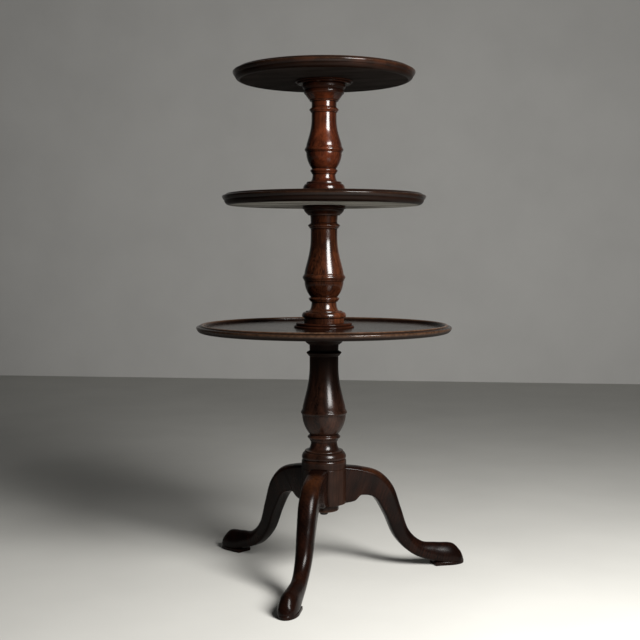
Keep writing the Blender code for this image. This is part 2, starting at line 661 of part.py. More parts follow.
def make_legs(axis):
    """Three cabriole legs of one carved form, each with its dovetail and its padded foot."""
    blank = add_object("leg_blank", loft("leg_blank", [leg_section(row) for row in leg_stations()]), axis)
    combine(blank, dovetail("leg_tongue", Matrix.Identity(4), axis, 0), "UNION")
    combine(blank, make_pad(axis), "UNION")
    bpy.context.view_layer.update()
    carved = blank.evaluated_get(bpy.context.evaluated_depsgraph_get())
    legs = []
    for name, degrees in LEG_DEGREES.items():
        mesh = bpy.data.meshes.new_from_object(carved)
        mesh.name = name
        mesh.shade_smooth()
        mesh.set_sharp_from_angle(angle=math.radians(SHARP_DEGREES))
        leg = add_object(name, mesh, axis, LEG_WOOD_SHARES)
        leg.rotation_euler.z = math.radians(degrees)
        legs.append(leg)
    for helper in ("leg_blank", "leg_tongue", "leg_pad"):
        bpy.data.objects.remove(bpy.data.objects[helper], do_unlink=True)
    return legs


def main():
    """Build the whole table on the pillar's axis."""
    clear_scene()
    axis = bpy.data.objects.new("pillar_axis", None)
    bpy.context.scene.collection.objects.link(axis)
    axis.location.y = AXIS_SHIFT
    make_pillar(axis)
    make_end_bolt(axis)
    make_legs(axis)
    make_tray("bottom_tray", BOTTOM_TRAY_RADIUS, BOTTOM_TRAY_BASE, BOTTOM_TRAY_THICKNESS,
              PILLAR_SPIGOT_RADIUS, MIDDLE_COLLAR_RADIUS, axis)
    make_collar("middle_collar", MIDDLE_COLLAR_RADIUS, MIDDLE_FOOT_RADIUS, BOTTOM_TRAY_FLOOR, axis)
    make_middle_stem(axis)
    make_tray("middle_tray", MIDDLE_TRAY_RADIUS, MIDDLE_TRAY_BASE, MIDDLE_TRAY_THICKNESS,
              MIDDLE_SPIGOT_RADIUS, TOP_COLLAR_RADIUS, axis)
    make_collar("top_collar", TOP_COLLAR_RADIUS, TOP_FOOT_RADIUS, MIDDLE_TRAY_FLOOR, axis)
    make_top_stem(axis)
    make_bearer(axis)
    make_screws(axis)
    make_top_tray(axis)


main()
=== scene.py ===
"""Looks of a three-tier dumbwaiter table in polished mahogany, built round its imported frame.

Lengths are in metres and +Z is up. The front leg points along -Y, and the pillar's axis stands at AXIS.
Every piece is drawn about the origin and then moved onto that axis, so its object stays at the origin.
"""
import json
import logging
import math
from dataclasses import dataclass, field, replace
from enum import Enum
from typing import Iterator, Optional, Sequence, Union

import bmesh
import bpy
import numpy as np
from mathutils import Matrix, Vector
from mathutils.kdtree import KDTree

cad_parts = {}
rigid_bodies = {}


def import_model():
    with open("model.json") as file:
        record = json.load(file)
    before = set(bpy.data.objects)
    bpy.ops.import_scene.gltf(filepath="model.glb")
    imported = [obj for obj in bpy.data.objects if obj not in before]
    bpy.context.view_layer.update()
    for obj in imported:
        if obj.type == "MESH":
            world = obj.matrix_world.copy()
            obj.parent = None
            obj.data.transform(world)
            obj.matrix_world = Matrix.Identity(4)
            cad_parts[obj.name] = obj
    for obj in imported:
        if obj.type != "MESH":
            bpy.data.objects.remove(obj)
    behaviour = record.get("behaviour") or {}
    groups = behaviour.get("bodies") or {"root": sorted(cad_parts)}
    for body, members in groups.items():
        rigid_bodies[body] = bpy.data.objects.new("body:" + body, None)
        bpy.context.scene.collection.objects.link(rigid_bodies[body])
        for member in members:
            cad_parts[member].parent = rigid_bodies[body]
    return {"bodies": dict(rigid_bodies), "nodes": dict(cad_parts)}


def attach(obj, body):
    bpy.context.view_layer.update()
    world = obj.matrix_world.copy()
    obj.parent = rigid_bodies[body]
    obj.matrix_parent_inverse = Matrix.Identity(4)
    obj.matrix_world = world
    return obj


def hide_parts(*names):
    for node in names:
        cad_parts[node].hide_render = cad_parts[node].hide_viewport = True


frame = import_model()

log = logging.getLogger("dumbwaiter")

AXIS = Vector((0.0, 0.0305, 0.0))
CLEARANCE = 0.0003
RUNNING_CLEARANCE = 0.0006
PILLAR_TOP = 0.5875
MIDDLE_STEM_BASE = 0.5984
MIDDLE_STEM_TOP = 0.8897
TOP_STEM_BASE = 0.9089
TOP_STEM_TOP = 1.1749
PILLAR_SPIGOT = 0.0160
MIDDLE_SPIGOT = 0.0140
TOP_SPIGOT = 0.0120
MIDDLE_FOOT = 0.0480
TOP_FOOT = 0.0440
COLLAR_HEIGHT = 0.0122
BEARER_HEIGHT = 0.0080
EASING = 0.0005
WELD = 1e-6
NO_LENGTH = 1e-7
MILLIMETRE = 0.001

Colour = tuple[float, float, float]
Point = tuple[float, float]
Input = Union["Value", float, int, Sequence[float]]
Socket = Union[int, str]
Made = list[tuple[bpy.types.Object, str, tuple[str, ...]]]


class Grain(Enum):
    """Which way the wood's grain runs through a piece."""

    UPRIGHT = "upright"
    BOARD = "board"
    LEG = "leg"


class Shape(Enum):
    """The forms that a turner cuts one after the other up a stem."""

    LINE = "line"
    BEAD = "bead"
    RING = "ring"
    COVE = "cove"
    BELLY = "belly"
    TAPER = "taper"
    OVOLO = "ovolo"


class Value:
    """A shader socket that takes part in sums, each of which adds a Math node."""

    def __init__(self, shader: "Shader", socket: bpy.types.NodeSocket) -> None:
        """Wrap a socket."""
        self.shader = shader
        self.socket = socket

    def math(self, operation: str, first: Input, second: Input = 0.0, clamp: bool = False) -> "Value":
        """Add a Math node."""
        settings = {"operation": operation, "use_clamp": clamp}
        return self.shader.value("ShaderNodeMath", settings, {0: first, 1: second})

    def __add__(self, other: Input) -> "Value":
        """Add another value to this one."""
        return self.math("ADD", self, other)

    def __radd__(self, other: Input) -> "Value":
        """Add this value to a number."""
        return self.math("ADD", other, self)

    def __sub__(self, other: Input) -> "Value":
        """Take another value from this one."""
        return self.math("SUBTRACT", self, other)

    def __rsub__(self, other: Input) -> "Value":
        """Take this value from a number."""
        return self.math("SUBTRACT", other, self)

    def __mul__(self, other: Input) -> "Value":
        """Multiply this value by another."""
        return self.math("MULTIPLY", self, other)

    def __rmul__(self, other: Input) -> "Value":
        """Multiply a number by this value."""
        return self.math("MULTIPLY", other, self)

    def held(self) -> "Value":
        """Hold this value between 0 and 1."""
        return self.math("ADD", self, 0.0, clamp=True)


class Shader:
    """A material's node tree, with one method that makes every node."""

    def __init__(self, name: str) -> None:
        """Make an empty material that ends in a Principled shader.

        Args:
            name: The material's name.
        """
        self.material = bpy.data.materials.new(name)
        self.material.use_nodes = True
        self.tree = self.material.node_tree
        self.principled = self.tree.nodes["Principled BSDF"]

    def node(self, kind: str, settings: Optional[dict] = None,
             inputs: Optional[dict] = None) -> bpy.types.Node:
        """Make a node, set it and then link or fill its sockets.

        Args:
            kind: The node's type.
            settings: Its properties, or the stops of a ramp as (place, grey) pairs.
            inputs: Its sockets' values or links, by index or name.

        Returns:
            The node.
        """
        node = self.tree.nodes.new(kind)
        for key, value in (settings or {}).items():
            if key == "stops":
                self.set_stops(node.color_ramp, value)
            else:
                setattr(node, key, value)
        for key, value in (inputs or {}).items():
            self.feed(node.inputs[key], value)
        return node

    def value(self, kind: str, settings: Optional[dict] = None, inputs: Optional[dict] = None,
              output: Socket = 0) -> Value:
        """Make a node and wrap one of its outputs."""
        return Value(self, self.node(kind, settings, inputs).outputs[output])

    def feed(self, socket: bpy.types.NodeSocket, value: Input) -> None:
        """Link a value to a socket, or write a plain one on it.

        Args:
            socket: The socket to feed.
            value: A wrapped socket, a number, a colour or a vector.
        """
        if isinstance(value, Value):
            self.tree.links.new(value.socket, socket)
        elif socket.type == "RGBA" and len(value) == 3:
            socket.default_value = (*value, 1.0)
        else:
            socket.default_value = value

    def set_stops(self, ramp: bpy.types.ColorRamp, stops: Sequence[Point]) -> None:
        """Give a ramp its stops.

        Args:
            ramp: The ramp.
            stops: Pairs of place and grey value.
        """
        while len(ramp.elements) < len(stops):
            ramp.elements.new(0.5)
        for element, (place, grey) in zip(ramp.elements, stops):
            element.position = place
            element.color = (grey, grey, grey, 1.0)

    def ramp(self, value: Input, *stops: Point) -> Value:
        """Run a value through a ramp of greys."""
        return self.value("ShaderNodeValToRGB", {"stops": stops}, {"Fac": value})

    def blend(self, share: Input, first: Input, second: Input, mode: str = "MIX") -> Value:
        """Mix two colours."""
        settings = {"data_type": "RGBA", "blend_type": mode, "clamp_factor": True}
        return self.value("ShaderNodeMix", settings, {0: share, 6: first, 7: second}, output=2)

    def attribute(self, name: str) -> Value:
        """Read a number that a piece's mesh carries."""
        return self.value("ShaderNodeAttribute", {"attribute_name": name}, output="Fac")

    def noise(self, place: Value, scale: float, detail: float = 2.0, distortion: float = 0.0) -> Value:
        """Read a noise at a place."""
        inputs = {"Vector": place, "Scale": scale, "Detail": detail, "Distortion": distortion}
        return self.value("ShaderNodeTexNoise", None, inputs)

    def stretched(self, place: Value, scale: Sequence[float],
                  turn: Sequence[float] = (0.0, 0.0, 0.0)) -> Value:
        """Turn and stretch coordinates."""
        inputs = {"Vector": place, "Rotation": turn, "Scale": scale}
        return self.value("ShaderNodeMapping", {"vector_type": "POINT"}, inputs)

    def finish(self, **sockets: Input) -> bpy.types.Material:
        """Feed the Principled shader.

        Args:
            **sockets: Values by socket name, with underscores for spaces.

        Returns:
            The material.
        """
        for name, value in sockets.items():
            self.feed(self.principled.inputs[name.replace("_", " ")], value)
        return self.material


@dataclass(frozen=True)
class Mahogany:
    """French-polished mahogany with its ribbon figure, open pores, dark hollows, rubbed edges, and the
    painted shade and painted light that its meshes mark.
    """

    name: str
    deep: Colour
    warm: Colour
    light: Colour
    worn: Colour
    # The dark colour of pores, of grime in hollows and of the painted shade.
    grime_and_shade: Colour = (0.006, 0.003, 0.002)
    rubbed_and_lit: float = 0.16
    # The unpolished underside's colour; the middle tray's pale one is a painted reflection of the floor.
    raw: Colour = (0.060, 0.050, 0.042)
    roughness: float = 0.22
    coat: float = 0.54
    coat_roughness: float = 0.13
    ior: float = 1.12
    log_pith: tuple[float, float, float] = (0.085, -0.14, 0.0)
    ring_width: float = 0.0065

    def material(self, grain: Grain, turn: float = 0.0) -> bpy.types.Material:
        """Make the wood for a piece.

        Args:
            grain: Which way its grain runs.
            turn: How far the piece is turned about the pillar, in radians.

        Returns:
            The material.
        """
        shader = Shader(self.name)
        seen = shader.value("ShaderNodeTexCoord", output="Object")
        centred = {"Vector": seen, "Location": AXIS, "Rotation": (0.0, 0.0, turn)}
        place = shader.value("ShaderNodeMapping", {"vector_type": "TEXTURE"}, centred)
        along = self.along_grain(shader, place, grain)
        figure = self.figure(shader, along)
        fibres = shader.noise(shader.stretched(along, (1.0, 1.0, 0.030)), 700.0, 3.0)
        pores = self.pores(shader, along)
        patina = shader.noise(place, 14.0, 3.0, 0.4)
        edge, hollow, worn = (shader.attribute(name) for name in ("edge", "hollow", "worn"))
        rub = shader.ramp(shader.noise(place, 120.0, 4.0, 0.5), (0.38, 0.0), (0.66, 1.0))
        colour = shader.blend(figure, self.deep, self.warm)
        colour = shader.blend(shader.ramp(fibres, (0.45, 0.0), (0.80, 0.55)), colour, self.light)
        colour = shader.blend(shader.ramp(patina, (0.36, 0.75), (0.60, 0.0)), colour, self.deep)
        colour = shader.blend(pores * 0.60, colour, self.grime_and_shade)
        # Rubbed edges and worn places take the worn colour; on the legs' knees that lighter colour is partly
        # painted light on the upward faces.
        rubbed_and_lit = (edge * (0.30 + 0.70 * rub) * self.rubbed_and_lit + worn * (0.45 + 0.55 * rub)).held()
        colour = shader.blend(rubbed_and_lit, colour, self.worn)
        # Hollows darken towards the grime colour. The same mask carries painted shade, darker under the
        # trays, at the stems' feet and on the trays' lower rims, with a thinner coat and a rougher polish
        # there.
        colour = shader.blend((hollow * 0.85).held(), colour, self.grime_and_shade)
        # The unpolished underside takes the raw colour, streaked with smears, with no coat and a rougher
        # surface; on the middle tray that pale colour is a painted reflection.
        raw = shader.attribute("raw")
        smears = shader.ramp(shader.noise(shader.stretched(along, (1.0, 1.0, 0.25)), 24.0, 5.0, 0.4),
                             (0.34, 0.30), (0.64, 1.0))
        bare_wood_and_sheen = shader.blend(shader.ramp(fibres, (0.30, 0.35), (0.70, 1.0)) * smears, self.grime_and_shade, self.raw)
        colour = shader.blend(raw, colour, bare_wood_and_sheen)
        roughness = (self.roughness + 0.10 * (patina - 0.5) + 0.16 * hollow + 0.10 * rubbed_and_lit + 0.08 * pores
                     + 0.45 * raw)
        relief = fibres * 0.25 - pores * 0.8 + shader.noise(place, 60.0, 2.0) * 0.6
        bump = shader.value("ShaderNodeBump", None, {"Strength": 0.25, "Distance": 0.00025, "Height": relief},
                            output="Normal")
        return shader.finish(Base_Color=colour, Roughness=roughness.held(), Normal=bump,
                             Coat_Weight=(self.coat * (1.0 - 0.9 * hollow - 0.3 * rubbed_and_lit) - raw).held(),
                             Coat_Roughness=self.coat_roughness, IOR=self.ior)

    def along_grain(self, shader: Shader, place: Value, grain: Grain) -> Value:
        """Turn coordinates so that the grain runs along their third axis."""
        turns = {Grain.UPRIGHT: (0.03, 0.02, 0.4), Grain.BOARD: (0.0, math.pi / 2, 0.35),
                 Grain.LEG: (0.0, -0.35, 0.0)}
        return shader.stretched(place, (1.0, 1.0, 1.0), turns[grain])

    def figure(self, shader: Shader, along: Value) -> Value:
        """Growth rings cut through by the surface, pulled about and broken into ribbons.

        Args:
            shader: The shader.
            along: Coordinates whose third axis runs with the grain.

        Returns:
            The share of warm wood over deep wood.
        """
        offset = shader.value("ShaderNodeMapping", {"vector_type": "POINT"},
                              {"Vector": along, "Location": self.log_pith, "Scale": (1.0, 1.0, 0.12)})
        rings = shader.value("ShaderNodeTexWave",
                             {"wave_type": "RINGS", "rings_direction": "Z", "wave_profile": "SIN"},
                             {"Vector": offset, "Scale": math.pi / (10.0 * self.ring_width),
                              "Distortion": 2.5, "Detail": 2.0, "Detail Scale": 0.6,
                              "Detail Roughness": 0.55}, output="Fac")
        ribbons = shader.noise(shader.stretched(along, (1.0, 1.0, 0.045)), 55.0, 2.0, 0.3)
        mixed = rings * 0.22 + shader.ramp(ribbons, (0.30, 0.0), (0.70, 1.0)) * 0.78
        return shader.ramp(mixed, (0.10, 0.0), (0.92, 1.0))

    def pores(self, shader: Shader, along: Value) -> Value:
        """Short dark dashes of open pores.

        Args:
            shader: The shader.
            along: Coordinates whose third axis runs with the grain.

        Returns:
            The share of pore.
        """
        dashes = shader.noise(shader.stretched(along, (1.0, 1.0, 0.070)), 1500.0, 1.0)
        patches = shader.noise(shader.stretched(along, (1.0, 1.0, 0.2)), 90.0, 2.0)
        return shader.ramp(dashes, (0.58, 0.0), (0.70, 1.0)) * shader.ramp(patches, (0.35, 0.3), (0.65, 1.0))


@dataclass(frozen=True)
class OldMetal:
    """Dulled metal with a grainy skin and browned patches."""

    name: str
    clean: Colour
    browned: Colour
    roughness: float
    metallic: float

    def material(self) -> bpy.types.Material:
        """Make the metal.

        Returns:
            The material.
        """
        shader = Shader(self.name)
        place = shader.value("ShaderNodeTexCoord", output="Object")
        patches = shader.ramp(shader.noise(place, 260.0, 4.0, 0.6), (0.42, 0.0), (0.62, 1.0))
        grains = shader.noise(place, 2200.0, 2.0)
        edge, hollow = shader.attribute("edge"), shader.attribute("hollow")
        browned = (patches * (1.0 - 0.7 * edge) + hollow * 0.8).held()
        inputs = {"Strength": 0.5, "Distance": 0.0002, "Height": grains + patches * 0.8}
        bump = shader.value("ShaderNodeBump", None, inputs, output="Normal")
        return shader.finish(Base_Color=shader.blend(browned, self.clean, self.browned), Normal=bump,
                             Roughness=(self.roughness + 0.2 * browned + 0.15 * (grains - 0.5)).held(),
                             Metallic=(self.metallic - 0.5 * browned).held())


TOP_STEM_WOOD = Mahogany(
    "top_stem_mahogany", deep=(0.0053, 0.0014, 0.0010), warm=(0.0630, 0.0136, 0.0050),
    light=(0.1280, 0.0370, 0.0130), worn=(0.0836, 0.0342, 0.0190))
MIDDLE_STEM_WOOD = Mahogany(
    "middle_stem_mahogany", deep=(0.0046, 0.0014, 0.0009), warm=(0.0660, 0.0182, 0.0066),
    light=(0.1400, 0.0450, 0.0160), worn=(0.0760, 0.0334, 0.0182), coat_roughness=0.16)
PILLAR_WOOD = Mahogany(
    "pillar_mahogany", deep=(0.0027, 0.0012, 0.0008), warm=(0.0250, 0.0098, 0.0058),
    light=(0.0520, 0.0210, 0.0120), worn=(0.0684, 0.0327, 0.0190), log_pith=(-0.07, 0.12, 0.0),
    roughness=0.30, coat=0.36, coat_roughness=0.21, ior=1.08)
TRAY_WOOD = Mahogany(
    "tray_mahogany", deep=(0.0029, 0.0015, 0.0011), warm=(0.0087, 0.0033, 0.0019),
    light=(0.0179, 0.0071, 0.0040), worn=(0.1140, 0.0608, 0.0342), rubbed_and_lit=0.12, coat=0.36, ior=1.10,
    log_pith=(0.045, 0.31, 0.0), ring_width=0.011)
TOP_TRAY_WOOD = replace(
    TRAY_WOOD, name="top_tray_mahogany", warm=(0.0213, 0.0067, 0.0032), light=(0.0395, 0.0137, 0.0061),
    raw=(0.039, 0.032, 0.029))
# Its pale grey underside colour is a painted reflection of the floor.
MIDDLE_TRAY_WOOD = replace(TRAY_WOOD, name="middle_tray_mahogany", raw=(0.660, 0.640, 0.578))
# A darkened copy of the top stem's wood: painted shade for the bearer under the top tray and for the middle
# collar.
PAINTED_SHADE_RING_WOOD = replace(
    TOP_STEM_WOOD, name="bearer_mahogany", deep=(0.0046, 0.0012, 0.0008), warm=(0.0198, 0.0044, 0.0017),
    light=(0.0365, 0.0095, 0.0030), worn=(0.0684, 0.0274, 0.0137), roughness=0.40, coat=0.12, ior=1.06)
LEG_WOOD = Mahogany(
    "leg_mahogany", deep=(0.0021, 0.0010, 0.0008), warm=(0.0105, 0.0034, 0.0019),
    light=(0.0215, 0.0074, 0.0040), worn=(0.0684, 0.0220, 0.0076), rubbed_and_lit=0.10, coat=0.18,
    coat_roughness=0.23, ior=1.08)
BOLT_IRON = OldMetal(
    "bolt_iron", clean=(0.040, 0.037, 0.035), browned=(0.022, 0.013, 0.009), roughness=0.50, metallic=0.85)
SCREW_STEEL = OldMetal(
    "screw_steel", clean=(0.260, 0.245, 0.225), browned=(0.070, 0.045, 0.030), roughness=0.38, metallic=1.0)


@dataclass
class Outline:
    """A turned piece's outline, as (radius, height, worn) points that run from the foot up its outside."""

    points: list[tuple[float, float, float]] = field(default_factory=list)
    grading: tuple[float, ...] = (0.0006, 0.002, 0.005, 0.012)
    long_run: float = 0.004

    def to(self, radius: float, height: float, worn: float = 0.0) -> "Outline":
        """Add a point."""
        self.points.append((radius, height, worn))
        return self

    def through(self, points: Sequence[Point], worn: float = 0.0) -> "Outline":
        """Add several points.

        Args:
            points: Pairs of radius and height.
            worn: How far the polish is rubbed away there.

        Returns:
            This outline.
        """
        for radius, height in points:
            self.to(radius, height, worn)
        return self

    def arc(self, start: Point, end: Point, steps: int, upright: bool) -> "Outline":
        """Add a quarter round.

        Args:
            start: The radius and height where it starts.
            end: Those where it ends.
            steps: How many chords it has.
            upright: Whether it leaves its start upright, and not level.

        Returns:
            This outline.
        """
        for step in range(steps + 1):
            turn = math.pi / 2 * step / steps
            shares = (math.sin(turn), 1 - math.cos(turn))
            across, up = reversed(shares) if upright else shares
            self.to(mix(start[0], end[0], across), mix(start[1], end[1], up))
        return self

    def eased(self, easing: float, sharp: float = math.radians(24)) -> "Outline":
        """Round the corners a little, as sandpaper and years of polishing leave them.

        Args:
            easing: How far from a corner its rounding starts.
            sharp: The turn above which a point counts as a corner.

        Returns:
            A new outline.
        """
        result = Outline([self.points[0]])
        for before, here, after in zip(self.points, self.points[1:], self.points[2:]):
            first, second = (Vector(b[:2]) - Vector(a[:2]) for a, b in ((before, here), (here, after)))
            if min(first.length, second.length) < NO_LENGTH:
                continue
            if first.angle(second) < sharp or here[0] < WELD:
                result.points.append(here)
                continue
            start = Vector(here[:2]) - first.normalized() * min(easing, first.length * 0.45)
            end = Vector(here[:2]) + second.normalized() * min(easing, second.length * 0.45)
            for share in (0.0, 0.33, 0.67, 1.0):
                low, high = start.lerp(Vector(here[:2]), share), Vector(here[:2]).lerp(end, share)
                result.to(*low.lerp(high, share), here[2])
        result.points.append(self.points[-1])
        return result

    def graded(self) -> "Outline":
        """Put points near both ends of the long straight runs, so that shading and wear stay at their edges.

        Returns:
            A new outline.
        """
        result = Outline([self.points[0]])
        for start, end in zip(self.points, self.points[1:]):
            length = math.dist(start[:2], end[:2])
            near = [gap for gap in self.grading if gap < 0.4 * length and length > self.long_run]
            stops = sorted({gap / length for gap in near} | {1.0 - gap / length for gap in near})
            for share in stops:
                result.points.append(tuple(a + (b - a) * share for a, b in zip(start, end)))
            result.points.append(end)
        return result

    def edge_and_hollow(self, reach: float = 0.0025) -> tuple[np.ndarray, np.ndarray]:
        """How much each point stands out from the outline about it, or lies back in it.

        Args:
            reach: How far along the outline the neighbours are taken.

        Returns:
            The two shares from 0 to 1.
        """
        flat = np.array([point[:2] for point in self.points])
        run = np.concatenate([[0.0], np.cumsum(np.linalg.norm(np.diff(flat, axis=0), axis=1))])

        def at(places: np.ndarray) -> np.ndarray:
            """Points of the outline at these distances along it."""
            return np.stack([np.interp(places, run, flat[:, 0]), np.interp(places, run, flat[:, 1])], axis=1)

        before, after = at(run - reach), at(run + reach)
        tangent = after - before
        tangent /= np.maximum(np.linalg.norm(tangent, axis=1, keepdims=True), NO_LENGTH)
        outward = np.stack([tangent[:, 1], -tangent[:, 0]], axis=1)
        stands = np.sum((flat - (before + after) / 2) * outward, axis=1) / reach
        return smooth_step(stands, 0.10, 0.55), smooth_step(-stands, 0.10, 0.50)


def smooth_step(values: np.ndarray, low: float, high: float) -> np.ndarray:
    """Ease values from 0 at low to 1 at high."""
    share = np.clip((values - low) / (high - low), 0.0, 1.0)
    return share * share * (3.0 - 2.0 * share)


def mix(start: float, end: float, share: float) -> float:
    """The value at a share of the way from start to end."""
    return start + (end - start) * share


def link(name: str, mesh: bpy.types.Mesh) -> bpy.types.Object:
    """Make an object of a mesh.

    Args:
        name: The object's name.
        mesh: Its mesh.

    Returns:
        The object.
    """
    obj = bpy.data.objects.new(name, mesh)
    bpy.context.scene.collection.objects.link(obj)
    return obj


def evaluated_mesh(obj: bpy.types.Object, name: str) -> bpy.types.Mesh:
    """A plain mesh of an object with its modifiers' result.

    Args:
        obj: The object.
        name: The new mesh's name.

    Returns:
        The mesh.
    """
    bpy.context.view_layer.update()
    mesh = bpy.data.meshes.new_from_object(obj.evaluated_get(bpy.context.evaluated_depsgraph_get()))
    mesh.name = name
    return mesh


def clean_mesh(mesh: bpy.types.Mesh, sharp_degrees: float = 60.0) -> bpy.types.Mesh:
    """Merge what coincides, point the faces outwards and shade them smooth.

    Args:
        mesh: The mesh.
        sharp_degrees: The angle above which an edge shows as sharp.

    Returns:
        The same mesh.
    """
    bm = bmesh.new()
    bm.from_mesh(mesh)
    bmesh.ops.remove_doubles(bm, verts=bm.verts, dist=WELD)
    bmesh.ops.recalc_face_normals(bm, faces=bm.faces)
    bm.to_mesh(mesh)
    bm.free()
    mesh.shade_smooth()
    mesh.set_sharp_from_angle(angle=math.radians(sharp_degrees))
    return mesh


def combine(obj: bpy.types.Object, others: Sequence[bpy.types.Object], operation: str) -> bpy.types.Object:
    """Cut helpers from an object or join them on, for good.

    Args:
        obj: The object.
        others: The helpers, which are removed.
        operation: The kind of Boolean.

    Returns:
        The object, with a plain mesh.
    """
    for other in others:
        modifier = obj.modifiers.new(other.name, "BOOLEAN")
        modifier.operation, modifier.solver, modifier.object = operation, "EXACT", other
    mesh = evaluated_mesh(obj, obj.name)
    obj.modifiers.clear()
    obj.data = mesh
    for other in others:
        bpy.data.objects.remove(other)
    return obj


def mark_edges(mesh: bpy.types.Mesh, reach: float) -> None:
    """Write on a carved mesh how much each place stands out or lies back.

    Args:
        mesh: The mesh.
        reach: How far about a place the surface is looked at.
    """
    tree = KDTree(len(mesh.vertices))
    for vertex in mesh.vertices:
        tree.insert(vertex.co, vertex.index)
    tree.balance()
    stands = np.zeros(len(mesh.vertices))
    for vertex in mesh.vertices:
        near = [found[0] for found in tree.find_range(vertex.co, reach)]
        middle = sum(near, Vector()) / len(near)
        stands[vertex.index] = (vertex.co - middle).dot(vertex.normal) / reach
    write_attribute(mesh, "edge", smooth_step(stands, 0.10, 0.34))
    write_attribute(mesh, "hollow", smooth_step(-stands, 0.05, 0.25))


def gather_dirt_and_shade(mesh: bpy.types.Mesh, clean: float, darkest: float, most: float) -> None:
    """Darken a piece's polish from one height to another: painted shade under the trays, at the stems' feet
    and on the trays' lower rims, and real dirt on the pillar's block.

    Args:
        mesh: The mesh, which carries the mask of hollows and painted shade.
        clean: The height where the darkening starts.
        darkest: The height from which it is darkest.
        most: How dark it is there.
    """
    hollow = np.zeros(len(mesh.vertices), np.float32)
    mesh.attributes["hollow"].data.foreach_get("value", hollow)
    shares = (np.array([vertex.co.z for vertex in mesh.vertices]) - clean) / (darkest - clean)
    write_attribute(mesh, "hollow", np.maximum(hollow, most * smooth_step(shares, 0.0, 1.0)))


def write_attribute(mesh: bpy.types.Mesh, name: str, values: np.ndarray) -> None:
    """Write a number on each vertex of a mesh."""
    attribute = mesh.attributes.get(name) or mesh.attributes.new(name, "FLOAT", "POINT")
    attribute.data.foreach_set("value", np.asarray(values, np.float32))


def geometry_tree(name: str, kinds: dict[str, str], nodes: dict[str, str],
                  settings: dict[str, dict[str, str]], links: Sequence[tuple[str, Socket, str, Socket]],
                  last: tuple[str, str]) -> tuple[bpy.types.NodeTree, dict[str, str]]:
    """Build a Geometry Nodes tree that ends in plain geometry of one finish.

    Args:
        name: The tree's name.
        kinds: Its inputs' kinds by name, with the finish among them.
        nodes: Its own nodes' types by name.
        settings: What is set on some of them before they are linked.
        links: The links among them, as (node, output, node, input).
        last: The node and the output that give the geometry.

    Returns:
        The tree, and its inputs' identifiers by name.
    """
    tree = bpy.data.node_groups.new(name, "GeometryNodeTree")
    inputs = {}
    for key, kind in kinds.items():
        socket = tree.interface.new_socket(key, in_out="INPUT", socket_type="NodeSocket" + kind)
        inputs[key] = socket.identifier
    tree.interface.new_socket("Result", in_out="OUTPUT", socket_type="NodeSocketGeometry")
    types = {"given": "NodeGroupInput", **nodes, "realize": "GeometryNodeRealizeInstances",
             "finish": "GeometryNodeSetMaterial", "result": "NodeGroupOutput"}
    made = {key: tree.nodes.new(kind) for key, kind in types.items()}
    for key, values in settings.items():
        for setting, value in values.items():
            setattr(made[key], setting, value)
    ending = ((*last, "realize", "Geometry"), ("realize", "Geometry", "finish", "Geometry"),
              ("given", "Finish", "finish", "Material"), ("finish", "Geometry", "result", "Result"))
    for start, output, end, entry in (*links, *ending):
        tree.links.new(made[start].outputs[output], made[end].inputs[entry])
    return tree, inputs


@dataclass
class Lathe:
    """Turns outlines into round pieces with one Geometry Nodes tree."""

    hub: float = 0.5
    tree: bpy.types.NodeTree = field(init=False)
    inputs: dict[str, str] = field(init=False)

    def __post_init__(self) -> None:
        """Build the tree, in which the outline runs as a profile round a circle of the hub's radius."""
        kinds = {"Outline": "Geometry", "Sides": "Int", "Hub radius": "Float", "Merge distance": "Float",
                 "Finish": "Material"}
        nodes = {"line": "GeometryNodeMeshToCurve", "circle": "GeometryNodeCurvePrimitiveCircle",
                 "normal": "GeometryNodeSetCurveNormal", "sweep": "GeometryNodeCurveToMesh",
                 "merge": "GeometryNodeMergeByDistance"}
        links = (("given", "Outline", "line", 0), ("given", "Sides", "circle", "Resolution"),
                 ("given", "Hub radius", "circle", "Radius"), ("circle", "Curve", "normal", "Curve"),
                 ("normal", "Curve", "sweep", "Curve"), ("line", 0, "sweep", "Profile Curve"),
                 ("sweep", "Mesh", "merge", "Geometry"), ("given", "Merge distance", "merge", "Distance"))
        settings = {"normal": {"mode": "Z_UP"}}
        self.tree, self.inputs = geometry_tree("turning", kinds, nodes, settings, links,
                                               ("merge", "Geometry"))

    def turn(self, name: str, outline: Outline, sides: int, finish: bpy.types.Material,
             closed: bool = False) -> bpy.types.Object:
        """Turn one piece about the origin's upright.

        Args:
            name: The piece's name.
            outline: Its outline.
            sides: The facets round it.
            finish: Its material.
            closed: Whether the outline runs back to its start, as round a ring.

        Returns:
            The piece, as a plain mesh that carries edge, hollow and worn.
        """
        fine = outline.graded()
        edge, hollow = fine.edge_and_hollow()
        count = len(fine.points)
        line = bpy.data.meshes.new(name + "_outline")
        links = [(first, first + 1) for first in range(count - 1)] + ([(count - 1, 0)] if closed else [])
        line.from_pydata([(radius - self.hub, -height, 0.0) for radius, height, _ in fine.points], links, [])
        worn = np.array([point[2] for point in fine.points])
        for key, values in (("edge", edge), ("hollow", hollow), ("worn", worn)):
            write_attribute(line, key, values)
        drawn = link(name + "_outline", line)
        modifier = drawn.modifiers.new("turning", "NODES")
        modifier.node_group = self.tree
        values = {"Sides": sides, "Hub radius": self.hub, "Merge distance": WELD, "Finish": finish}
        for key, value in values.items():
            modifier[self.inputs[key]] = value
        mesh = clean_mesh(evaluated_mesh(drawn, name))
        drawn.modifiers.clear()
        bpy.data.objects.remove(drawn)
        return link(name, mesh)


